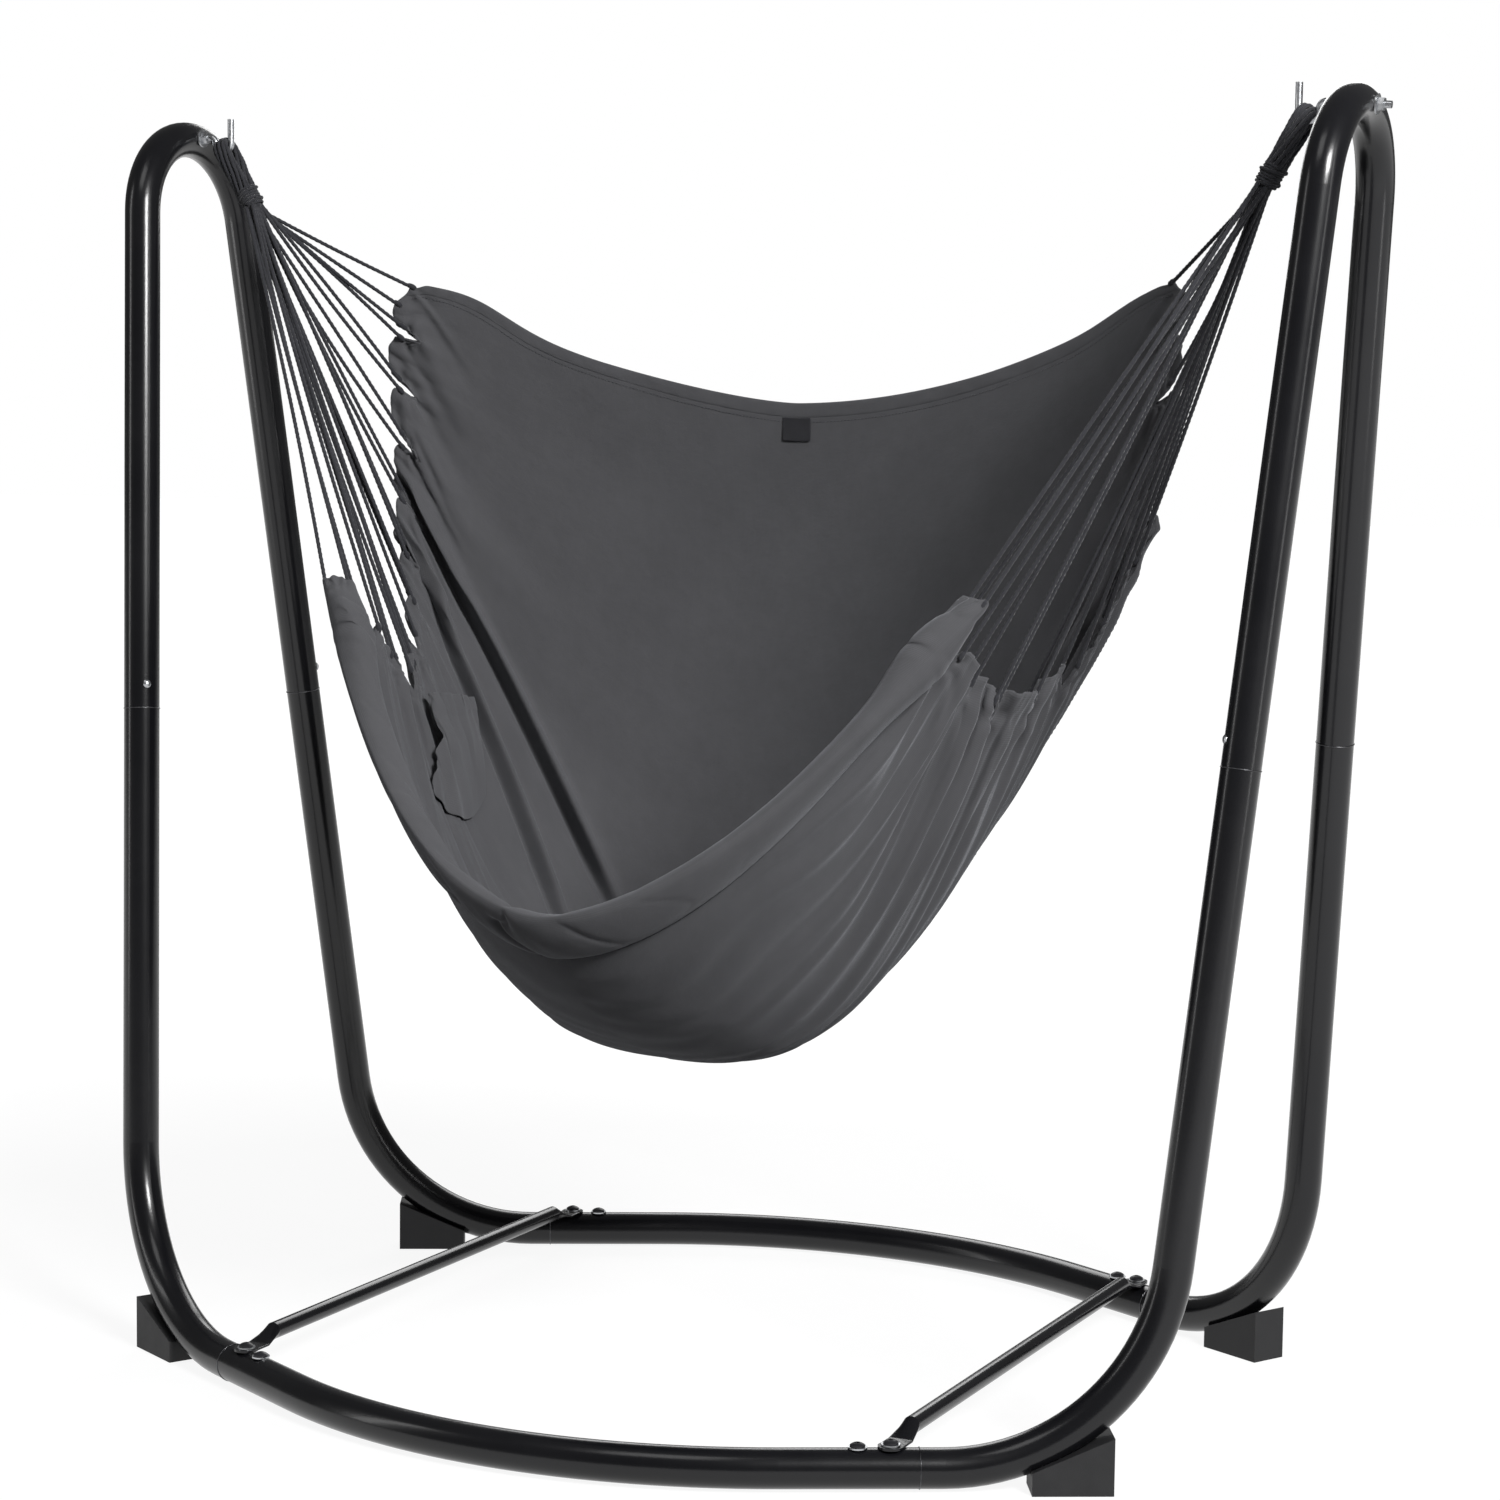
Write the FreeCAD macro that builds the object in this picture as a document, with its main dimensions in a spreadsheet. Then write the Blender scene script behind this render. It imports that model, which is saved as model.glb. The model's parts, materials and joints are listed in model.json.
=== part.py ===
import FreeCAD, Part
import math
import os
import Sketcher
from FreeCAD import Placement, Rotation, Vector

# Hanging hammock chair on a free-standing steel tube stand.
# Millimetres. +Z up, +X to the right, +Y to the back. The origin is on the floor, midway
# between the two arches. The stand and the chair are symmetric about the YZ plane, but for
# the pocket inside the seat's left side.

# ---------------------------------------------------------------- driving sizes

SIZES = [
    # stand
    ("tube_diameter", 42.0, "outer diameter of the stand tube"),
    ("tube_wall", 1.5, "wall of the stand tube"),
    ("floor_lift", 2.0, "height of the tube's underside over the floor"),
    ("base_half_width", 624.0, "X of the corner where a leg line meets the base line"),
    ("base_half_depth", 259.0, "Y of the same corner"),
    ("apex_half_width", 732.0, "X of the arch's highest point"),
    ("apex_height", 1423.0, "height of the arch's centre line"),
    ("arch_radius", 106.0, "centre-line radius of the arch"),
    ("leg_joint_height", 738.0, "height of the joint between arch and leg"),
    ("bend_radius", 235.0, "centre-line radius of the bend at the foot of a leg"),
    ("base_sweep", 28.0, "plan angle of the base line to X, degrees"),
    ("bow_half_width", 290.0, "X where the bowed part of the base begins"),
    ("base_joint_half_width", 418.0, "X of the joint between leg and base tube"),
    ("neck_length", 75.0, "length of a necked tube end"),
    ("neck_wall", 1.5, "wall of a necked end"),
    ("neck_fit", 0.2, "clearance round a necked end"),
    ("shoulder", 4.0, "length of the step inside a necked tube"),
    # cross bars
    ("bar_diameter", 19.0, "outer diameter of a cross bar"),
    ("bar_wall", 1.2, "wall of a cross bar"),
    ("bar_tab_width", 27.0, "width of a flattened end"),
    ("bar_tab_thickness", 2.6, "thickness of a flattened end"),
    ("bar_tab_reach", 26.0, "flat length from the bolt towards the bar"),
    ("bar_taper", 28.0, "length over which the bar goes flat"),
    # fasteners
    ("base_bolt_half_width", 392.0, "X of the bolt that holds a cross bar"),
    ("base_bolt_pitch", 34.0, "distance to the second bolt of a base joint"),
    ("bolt_diameter", 8.0, "M8 base bolt"),
    ("bolt_head_diameter", 16.0, "domed head"),
    ("bolt_head_height", 4.5, "domed head"),
    ("socket_width", 5.0, "hexagon socket in the head, across flats"),
    ("socket_depth", 2.6, "hexagon socket in the head"),
    ("washer_diameter", 20.0, "base washer"),
    ("washer_thickness", 1.6, "base and hook washer"),
    ("nut_width", 13.0, "M8 nut across flats"),
    ("nut_height", 6.5, "M8 nut"),
    ("screw_diameter", 5.0, "leg joint screw"),
    ("screw_head_diameter", 9.5, "leg joint screw"),
    ("screw_head_height", 2.6, "leg joint screw"),
    ("screw_length", 12.0, "under the head"),
    ("screw_rise", 28.0, "height of the screw over the leg joint"),
    ("screw_turn", 38.0, "plan angle from X, inward and away from the middle, degrees"),
    ("hole_clearance", 0.25, "radial clearance of every bolt hole"),
    ("thread_clearance", 0.1, "radial clearance between nut and bolt"),
    ("seat_gap", 0.2, "running gap between pieces that touch"),
    # feet
    ("foot_length", 84.0, "along the base line"),
    ("foot_width", 46.0, "across the base line"),
    ("foot_outer_height", 60.0, "at the outer end"),
    ("foot_inner_height", 24.0, "at the inner end"),
    ("foot_inset", 36.0, "from the base corner to the outer end"),
    ("foot_screw_reach", 52.0, "from the outer end to the screw"),
    ("foot_screw_length", 16.0, "self-tapping screw from below"),
    # hooks
    ("hook_diameter", 8.0, "rod of the hook"),
    ("hook_tail", 16.0, "thread past the outer face of the arch"),
    ("hook_reach", 11.0, "rod past the inner face up to its bend"),
    ("hook_bend_radius", 8.0, "first bend"),
    ("hook_radius", 11.0, "centre-line radius of the hook"),
    ("hook_tip", 29.0, "straight tip of the hook"),
    ("hook_washer_diameter", 22.0, "washer under each hook nut"),
    # hanging gear
    ("pull_angle", 30.3, "lean of the hanging loops from the vertical, degrees"),
    ("loop_rope_diameter", 12.0, "rope bundle of the hanging loop"),
    ("loop_clearance", 0.6, "between hook rod and rope bundle"),
    ("loop_length", 49.5, "from the hook rod to the whipping"),
    ("loop_end_gap", 12.8, "between the loop's two legs at the whipping"),
    ("whipping_diameter", 27.0, "binding round the cords"),
    ("whipping_length", 33.0, "binding round the cords"),
    ("whipping_round", 3.0, "rounded ends of the binding"),
    ("cord_diameter", 4.5, "suspension cord"),
    ("cord_row_pitch", 5.6, "distance of the three rows of cords where they leave the whipping"),
    ("cord_step", 2.0, "distance along Y from each of those cords to the next"),
    # cloth
    ("cloth_length", 1290.0, "seat cloth from hem to hem, along its middle"),
    ("cloth_thickness", 3.0, "seat cloth"),
    ("back_hem_thickness", 5.0, "rolled back hem"),
    ("front_hem_thickness", 8.0, "padded front hem"),
    ("pocket_thickness", 2.0, "side pocket"),
    ("tag_thickness", 0.8, "blank sewn tag"),
    ("sewn_gap", 0.3, "gap between sewn pieces"),
    ("cord_gap", 0.65, "gap between a cord's end and the gathered edge"),
]

CORDS_PER_SIDE = 13
SIDES = (("left", -1), ("right", 1))
ENDS = (("front", -1), ("rear", 1))

# The two curves that carry the seat cloth, as (share of the way from back hem to front hem,
# X, Y, Z). The side edge is gathered on the cords and the middle line hangs free.
SIDE_EDGE = [
    (0.00, 495.0, 131.0, 1248.0),
    (0.12, 500.0, 120.0, 1165.0),
    (0.25, 492.0, 108.0, 1060.0),
    (0.38, 478.0, 92.0, 955.0),
    (0.50, 448.0, 55.0, 872.0),
    (0.62, 410.0, 0.0, 806.0),
    (0.73, 376.0, -65.0, 788.0),
    (0.84, 358.0, -128.0, 814.0),
    (0.91, 364.0, -162.0, 846.0),
    (0.963, 377.0, -187.0, 894.0),
    (1.00, 410.0, -200.0, 902.0),
]
MIDDLE_LINE = [
    (0.00, 0.0, 206.0, 1120.0),
    (0.12, 0.0, 222.0, 972.0),
    (0.25, 0.0, 216.0, 804.0),
    (0.38, 0.0, 186.0, 646.0),
    (0.50, 0.0, 126.0, 510.0),
    (0.62, 0.0, 32.0, 411.0),
    (0.73, 0.0, -80.0, 376.0),
    (0.84, 0.0, -218.0, 416.0),
    (0.93, 0.0, -340.0, 491.0),
    (1.00, 0.0, -425.0, 577.0),
]
# How sharply the cloth's cross curve rises to its sides, as (share, exponent).
RISE = [(0.00, 1.58), (0.30, 2.00), (0.55, 2.30), (0.75, 2.30), (0.88, 2.00), (1.00, 1.70)]
DEPTH_EXPONENT = 1.8
BACK_HEM_SHARE = 0.014
FRONT_HEM_SHARE = 0.963
# Corners of the two patches as (across, share), in order round the patch. Across runs from
# -1 at the left edge to 1 at the right edge. The pocket's first two corners are its open top.
POCKET = ((-0.96, 0.690), (-0.82, 0.500), (-0.72, 0.600), (-0.83, 0.790))
TAG = ((-0.028, 0.019), (0.028, 0.019), (0.028, 0.042), (-0.028, 0.042))

# Stations across and along each piece of cloth, through which its faces are drawn.
SEAT_STATIONS = (25, 27)
BACK_HEM_STATIONS = (25, 4)
FRONT_HEM_STATIONS = (25, 9)
POCKET_STATIONS = (9, 9)
TAG_STATIONS = (4, 4)
CLOTH_STEP = 0.004       # difference in across or share that a tangent of the cloth is taken over
PAD_FULLNESS = 0.6       # exponent of a pad's crown: the lower, the fuller its sides
LEAST_COSINE = 0.2       # keeps a cord that lies almost along the edge from being cut far back

RIM_SHARE = 1 / 3        # share of a domed head's height that is its straight rim
WALL_DRILL = 1.5         # drill past one wall, in tube radii from the tube's axis

doc = FreeCAD.newDocument("HammockOnStand")
sheet = doc.addObject("Spreadsheet::Sheet", "Sizes")
for row, (alias, value, note) in enumerate(SIZES, start=1):
    sheet.set("A%d" % row, alias)
    sheet.set("B%d" % row, repr(value))
    sheet.set("C%d" % row, note)
    sheet.setAlias("B%d" % row, alias)
doc.recompute()

NODES = []


def size(alias):
    """The value that the sheet holds under this alias."""
    return float(sheet.get(alias))


def keep(piece, label):
    """Make an object of the document a sub-part with its own name."""
    piece.Label = label
    NODES.append(piece)
    return piece


# ---------------------------------------------------------------- building blocks


def frame_at(origin, along, toward):
    """Placement whose local Z runs along, with local X on the side of toward."""
    return Placement(origin, Rotation(toward, Vector(), along, "ZXY"))


def upright(point):
    """Placement at a point whose axes lie along the part's own."""
    return frame_at(point, Vector(0, 0, 1), Vector(1, 0, 0))


def origin_plane(body, role):
    for feature in body.Origin.OriginFeatures:
        if feature.Role == role:
            return feature
    raise ValueError(role)


def add_sketch(body, name, role, offset=0.0):
    sketch = body.newObject("Sketcher::SketchObject", name)
    sketch.AttachmentSupport = [(origin_plane(body, role), "")]
    sketch.MapMode = "FlatFace"
    sketch.AttachmentOffset = Placement(Vector(0, 0, offset), Rotation())
    return sketch


def add_circle(sketch, expression, value):
    """A circle on the sketch's origin whose diameter follows the sheet."""
    circle = sketch.addGeometry(Part.Circle(Vector(), Vector(0, 0, 1), value / 2), False)
    sketch.addConstraint(Sketcher.Constraint("Coincident", circle, 3, -1, 1))
    diameter = sketch.addConstraint(Sketcher.Constraint("Diameter", circle, value))
    sketch.setExpression("Constraints[%d]" % diameter, expression)


def path_edges(moves, start=0.0):
    """Geometry of a bent rod in its XZ plane, from the origin along +Z.

    A move is ("run", length) or ("bend", radius, degrees), positive towards +X.
    """
    edges = []
    point = Vector(0, start, 0)
    heading = Vector(0, 1, 0)
    for move in moves:
        if move[0] == "run":
            after = point + heading * move[1]
            edges.append(Part.LineSegment(point, after))
            point = after
            continue
        radius, turn = move[1], math.radians(move[2])
        side = 1 if turn > 0 else -1
        centre = point + Vector(heading.y, -heading.x, 0) * (side * radius)
        half = Rotation(Vector(0, 0, 1), -math.degrees(turn) / 2)
        whole = Rotation(Vector(0, 0, 1), -math.degrees(turn))
        spoke = point - centre
        middle = centre + half.multVec(spoke)
        after = centre + whole.multVec(spoke)
        edges.append(Part.Arc(point, middle, after))
        point = after
        heading = whole.multVec(heading)
    return edges


def path_end(moves):
    """Last point of a bent rod, in the local XZ plane."""
    last = path_edges(moves)[-1]
    tip = last.value(last.LastParameter)
    return Vector(tip.x, 0, tip.y)


def add_spine(body, name, moves, start=0.0):
    spine = add_sketch(body, name, "XZ_Plane")
    spine.addGeometry(path_edges(moves, start), False)
    return spine


def add_pipe(body, kind, name, moves, rings, start=0.0):
    """Sweep one circle, or two for a hollow ring, along a bent path of this body."""
    profile = add_sketch(body, name + "Ring", "XY_Plane", start)
    for expression, value in rings:
        add_circle(profile, expression, value)
    pipe = body.newObject("PartDesign::" + kind, name)
    pipe.Profile = profile
    pipe.Spine = add_spine(body, name + "Spine", moves, start)
    return pipe


def trimmed(moves, first, last):
    """The same path with its first and last runs shortened."""
    runs = list(moves)
    runs[0] = ("run", moves[0][1] - first)
    runs[-1] = ("run", moves[-1][1] - last)
    return runs


def rod(name, expression, radius, length, placement):
    """A plain cylinder whose radius follows the sheet."""
    cylinder = doc.addObject("Part::Cylinder", name)
    cylinder.Radius = radius
    cylinder.setExpression("Radius", expression)
    cylinder.Height = length
    cylinder.Placement = placement
    return cylinder


def fuse(name, pieces):
    if len(pieces) == 1:
        return pieces[0]
    union = doc.addObject("Part::MultiFuse", name)
    union.Shapes = pieces
    return union


def cut(name, base, tools):
    result = doc.addObject("Part::Cut", name)
    result.Base = base
    result.Tool = fuse(name + "Tools", tools)
    return result


def group(name, pieces):
    """Identical fasteners as one sub-part of separate solids."""
    compound = doc.addObject("Part::Compound", name)
    compound.Links = pieces
    return compound


# ---------------------------------------------------------------- places on the stand

tube_radius = size("tube_diameter") / 2
tube_bore = size("tube_diameter") - 2 * size("tube_wall")
neck_diameter = tube_bore - 2 * size("neck_fit")
neck_bore = neck_diameter - 2 * size("neck_wall")
base_height = size("floor_lift") + tube_radius
apex_rise = size("apex_height") - base_height
lean_shift = size("apex_half_width") - size("base_half_width")
lean_length = math.hypot(apex_rise, lean_shift)
BORE = "Sizes.tube_diameter - 2 * Sizes.tube_wall"
NECK = "Sizes.tube_diameter - 2 * Sizes.tube_wall - 2 * Sizes.neck_fit"
NECK_BORE = NECK + " - 2 * Sizes.neck_wall"


def tangent_run(half_gap, drop, radius):
    """Length and tilt of a straight leg that runs into an arch tangentially.

    The leg starts half_gap beside and drop below the arch's centre. The tilt is positive
    where the legs close in towards the arch.
    """
    reach = math.hypot(half_gap, drop)
    length = math.sqrt(reach * reach - radius * radius)
    tilt = math.atan2(half_gap, drop) - math.asin(radius / reach)
    return length, tilt


LEG_RUN, LEG_TILT = tangent_run(
    size("base_half_depth"), lean_length - size("arch_radius"), size("arch_radius")
)


def lean_up(side):
    """Unit vector up along the leaning plane of one arch."""
    return Vector(side * lean_shift, 0, apex_rise) / lean_length


def base_corner(side, end):
    return Vector(side * size("base_half_width"), end * size("base_half_depth"), base_height)


def leg_direction(side, end):
    """Unit vector up along a leg."""
    return lean_up(side) * math.cos(LEG_TILT) + Vector(0, -end * math.sin(LEG_TILT), 0)


def base_direction(side, end):
    """Unit vector along the base line, from a corner towards the middle."""
    sweep = math.radians(size("base_sweep"))
    return Vector(-side * math.cos(sweep), end * math.sin(sweep), 0)


def leg_joint(side, end):
    """Centre of the joint between arch and leg."""
    up = leg_direction(side, end)
    return base_corner(side, end) + up * ((size("leg_joint_height") - base_height) / up.z)


def base_point(side, end, half_width):
    """Point of the straight part of the base line at this X."""
    travel = (size("base_half_width") - half_width) / math.cos(math.radians(size("base_sweep")))
    return base_corner(side, end) + base_direction(side, end) * travel


def bolt_points(side, end):
    """The two bolts of a base joint, the one through the cross bar first."""
    outer = base_point(side, end, size("base_bolt_half_width"))
    return [outer, outer + base_direction(side, end) * size("base_bolt_pitch")]


def screw_frame(side, end):
    """Leg joint screw: local Z points out of the tube, inward along X and outward along Y."""
    up = leg_direction(side, end)
    turn = math.radians(size("screw_turn"))
    outward = Vector(-side * math.cos(turn), end * math.sin(turn), 0)
    outward = (outward - up * outward.dot(up)).normalize()
    centre = leg_joint(side, end) + up * size("screw_rise")
    return frame_at(centre, outward, up)


def arch_apex(side):
    return Vector(side * size("apex_half_width"), 0, size("apex_height"))


def hook_inward(side):
    """Unit vector of the hook's rod, from the arch to the inside of the stand."""
    up = lean_up(side)
    return Vector(-side * up.z, 0, abs(up.x))


def bolt_drill(name, point):
    """Cylinder that cuts a bolt's hole through the upper wall of the base tubes and the bar."""
    placement = upright(Vector(point.x, point.y, base_height))
    radius = size("bolt_diameter") / 2 + size("hole_clearance")
    expression = "Sizes.bolt_diameter / 2 + Sizes.hole_clearance"
    return rod(name, expression, radius, size("tube_diameter"), placement)


def screw_drill(name, side, end):
    """Cylinder that cuts a leg joint screw's hole through one side of both tubes."""
    radius = size("screw_diameter") / 2 + size("hole_clearance")
    expression = "Sizes.screw_diameter / 2 + Sizes.hole_clearance"
    return rod(name, expression, radius, tube_radius * WALL_DRILL, screw_frame(side, end))


# ---------------------------------------------------------------- stand tubes


def make_arch(name, side):
    """Upper tube: two straight legs and the arch over the hook."""
    joint_drop = (leg_joint(side, -1) - base_corner(side, -1)).Length
    run = LEG_RUN - joint_drop
    turn = 180 - 2 * math.degrees(LEG_TILT)
    moves = [("run", run), ("bend", size("arch_radius"), turn), ("run", run)]
    body = doc.addObject("PartDesign::Body", name.title().replace("_", "") + "Blank")
    rings = [("Sizes.tube_diameter", size("tube_diameter")), (BORE, tube_bore)]
    add_pipe(body, "AdditivePipe", name + "Pipe", moves, rings)
    body.Placement = frame_at(leg_joint(side, -1), leg_direction(side, -1), Vector(0, 1, 0))
    drills = [screw_drill("%sDrill%s" % (name, label), side, end) for label, end in ENDS]
    inward = hook_inward(side)
    reach = tube_radius * WALL_DRILL
    placement = frame_at(arch_apex(side) - inward * reach, inward, Vector(0, 1, 0))
    radius = size("hook_diameter") / 2 + size("hole_clearance")
    expression = "Sizes.hook_diameter / 2 + Sizes.hole_clearance"
    drills.append(rod(name + "HookDrill", expression, radius, 2 * reach, placement))
    keep(cut(name, body, drills), name)


def leg_moves(side, end):
    """Leg path from the top of its upper neck to the end of its lower neck."""
    up = leg_direction(side, end)
    out = base_direction(side, end)
    turn = math.degrees(math.acos(-up.dot(out)))
    tangent = size("bend_radius") * math.tan(math.radians(turn) / 2)
    upper = (leg_joint(side, end) - base_corner(side, end)).Length - tangent
    joint = base_point(side, end, size("base_joint_half_width"))
    lower = (joint - base_corner(side, end)).Length - tangent
    neck = size("neck_length")
    return [
        ("run", upper + neck),
        ("bend", size("bend_radius"), turn),
        ("run", lower + neck),
    ]


def make_leg(name, side, end):
    """Lower leg: necked top, straight leg, wide bend and necked end in the base tube."""
    neck = size("neck_length")
    shoulder = neck + size("shoulder")
    moves = leg_moves(side, end)
    body = doc.addObject("PartDesign::Body", name.title().replace("_", "") + "Blank")
    add_pipe(body, "AdditivePipe", name + "Neck", moves, [(NECK, neck_diameter)])
    outer = [("Sizes.tube_diameter", size("tube_diameter"))]
    add_pipe(body, "AdditivePipe", name + "Tube", trimmed(moves, neck, neck), outer, neck)
    doc.recompute()
    add_pipe(body, "SubtractivePipe", name + "NeckBore", moves, [(NECK_BORE, neck_bore)])
    doc.recompute()
    inner = trimmed(moves, shoulder, shoulder)
    add_pipe(body, "SubtractivePipe", name + "Bore", inner, [(BORE, tube_bore)], shoulder)
    up = leg_direction(side, end)
    toward = base_direction(side, end)
    body.Placement = frame_at(leg_joint(side, end) + up * neck, -up, toward)
    drills = [screw_drill(name + "ScrewDrill", side, end)]
    for index, point in enumerate(bolt_points(side, end)):
        drills.append(bolt_drill("%sBoltDrill%d" % (name, index), point))
    keep(cut(name, body, drills), name)


def make_base_tube(name, end):
    """Bowed tube between the two legs of one side of the base."""
    sweep = size("base_sweep")
    joint = base_point(-1, end, size("base_joint_half_width"))
    run = (base_point(-1, end, size("bow_half_width")) - joint).Length
    radius = size("bow_half_width") / math.sin(math.radians(sweep))
    moves = [("run", run), ("bend", radius, 2 * sweep), ("run", run)]
    body = doc.addObject("PartDesign::Body", name.title().replace("_", "") + "Blank")
    rings = [("Sizes.tube_diameter", size("tube_diameter")), (BORE, tube_bore)]
    add_pipe(body, "AdditivePipe", name + "Pipe", moves, rings)
    body.Placement = frame_at(joint, base_direction(-1, end), Vector(0, -end, 0))
    drills = []
    for label, side in SIDES:
        for index, point in enumerate(bolt_points(side, end)):
            drills.append(bolt_drill("%s%s%d" % (name, label, index), point))
    keep(cut(name, body, drills), name)


# ---------------------------------------------------------------- cross bars

tab_base = base_height + tube_radius + size("seat_gap")


def add_slot(sketch, width, thickness, lift):
    """Flat oval of the flattened bar, standing lift below the bar's axis."""
    left = -width / 2 + thickness / 2
    right = width / 2 - thickness / 2
    low = -lift
    high = low + thickness
    middle = (low + high) / 2
    sketch.addGeometry(Part.LineSegment(Vector(left, low, 0), Vector(right, low, 0)), False)
    end_arc = Part.Arc(
        Vector(right, low, 0), Vector(right + thickness / 2, middle, 0), Vector(right, high, 0)
    )
    sketch.addGeometry(end_arc, False)
    sketch.addGeometry(Part.LineSegment(Vector(right, high, 0), Vector(left, high, 0)), False)
    start_arc = Part.Arc(
        Vector(left, high, 0), Vector(left - thickness / 2, middle, 0), Vector(left, low, 0)
    )
    sketch.addGeometry(start_arc, False)


def make_cross_bar(name, side):
    """Thin tube from front to rear, pressed flat and bolted down at both ends."""
    front = bolt_points(side, -1)[0]
    rear = bolt_points(side, 1)[0]
    length = rear.y - front.y
    flat = size("bar_tab_reach")
    taper = size("bar_taper")
    lift = size("bar_diameter") / 2
    outer = size("bar_diameter")
    axis_height = tab_base + lift
    body = doc.addObject("PartDesign::Body", name.title().replace("_", "") + "Blank")
    ring = add_sketch(body, name + "Ring", "XY_Plane", flat + taper)
    add_circle(ring, "Sizes.bar_diameter", outer)
    add_circle(ring, "Sizes.bar_diameter - 2 * Sizes.bar_wall", outer - 2 * size("bar_wall"))
    tube = body.newObject("PartDesign::Pad", name + "Tube")
    tube.Profile = ring
    tube.Length = length - 2 * (flat + taper)
    ends = (
        ("Front", 0.0, flat, flat + taper),
        ("Rear", length - flat, length - flat, length - flat - taper),
    )
    for label, tab_start, flat_side, round_side in ends:
        tab = add_sketch(body, name + label + "Tab", "XY_Plane", tab_start)
        add_slot(tab, size("bar_tab_width"), size("bar_tab_thickness"), lift)
        pad = body.newObject("PartDesign::Pad", name + label + "Flat")
        pad.Profile = tab
        pad.Length = flat
        oval = add_sketch(body, name + label + "Oval", "XY_Plane", flat_side)
        add_slot(oval, size("bar_tab_width"), size("bar_tab_thickness"), lift)
        circle = add_sketch(body, name + label + "Round", "XY_Plane", round_side)
        add_circle(circle, "Sizes.bar_diameter", outer)
        loft = body.newObject("PartDesign::AdditiveLoft", name + label + "Taper")
        loft.Profile = circle
        loft.Sections = [oval]
        loft.Ruled = True
    body.Placement = frame_at(
        Vector(front.x, front.y, axis_height), Vector(0, 1, 0), Vector(-1, 0, 0)
    )
    discs = []
    drills = []
    for label, point in (("Front", front), ("Rear", rear)):
        disc = rod(
            name + label + "Disc",
            "Sizes.bar_tab_width / 2",
            size("bar_tab_width") / 2,
            size("bar_tab_thickness"),
            upright(Vector(point.x, point.y, tab_base)),
        )
        disc.setExpression("Height", "Sizes.bar_tab_thickness")
        discs.append(disc)
        drills.append(bolt_drill(name + label + "Drill", point))
    keep(cut(name, fuse(name + "Blank", [body] + discs), drills), name)


# ---------------------------------------------------------------- fasteners


def dome(name, diameter, height, placement):
    """Domed screw head: a cap of a sphere on a thin rim."""
    rim = height * RIM_SHARE
    rise = height - rim
    radius = ((diameter / 2) ** 2 + rise**2) / (2 * rise)
    half_turn = math.asin(diameter / 2 / radius) / 2
    centre = Vector()
    edge_low = Vector(diameter / 2, 0, 0)
    edge_high = Vector(diameter / 2, 0, rim)
    shoulder = Vector(radius * math.sin(half_turn), 0, height - radius + radius * math.cos(half_turn))
    crown = Vector(0, 0, height)
    profile = Part.Wire([
        Part.LineSegment(centre, edge_low).toShape(),
        Part.LineSegment(edge_low, edge_high).toShape(),
        Part.Arc(edge_high, shoulder, crown).toShape(),
        Part.LineSegment(crown, centre).toShape(),
    ])
    head = doc.addObject("Part::Feature", name)
    head.Shape = Part.Face(profile).revolve(Vector(), Vector(0, 0, 1), 360)
    head.Placement = placement
    return head


def hexagon(name, width_alias, height_alias, placement):
    """Hexagonal prism with these sizes across flats and along its axis."""
    prism = doc.addObject("Part::Prism", name)
    prism.Polygon = 6
    prism.Circumradius = size(width_alias) / math.sqrt(3)
    prism.setExpression("Circumradius", "Sizes.%s / sqrt(3)" % width_alias)
    prism.Height = size(height_alias)
    prism.setExpression("Height", "Sizes." + height_alias)
    prism.Placement = placement
    return prism


def nut(name, rod_alias, placement):
    """Hexagon nut of the rod that this alias sizes, with its lower face on the placement."""
    prism = hexagon(name + "Hex", "nut_width", "nut_height", placement)
    bore = size(rod_alias) / 2 + size("thread_clearance")
    expression = "Sizes.%s / 2 + Sizes.thread_clearance" % rod_alias
    hole = rod(name + "Bore", expression, bore, size("nut_height"), placement)
    return cut(name, prism, [hole])


def washer(name, diameter_alias, rod_alias, placement):
    """Flat ring of this outer diameter round the rod that the second alias sizes."""
    height = size("washer_thickness")
    outer = size(diameter_alias) / 2
    bore = size(rod_alias) / 2 + size("hole_clearance")
    bore_expression = "Sizes.%s / 2 + Sizes.hole_clearance" % rod_alias
    plate = rod(name + "Plate", "Sizes.%s / 2" % diameter_alias, outer, height, placement)
    return cut(name, plate, [rod(name + "Hole", bore_expression, bore, height, placement)])


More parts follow.
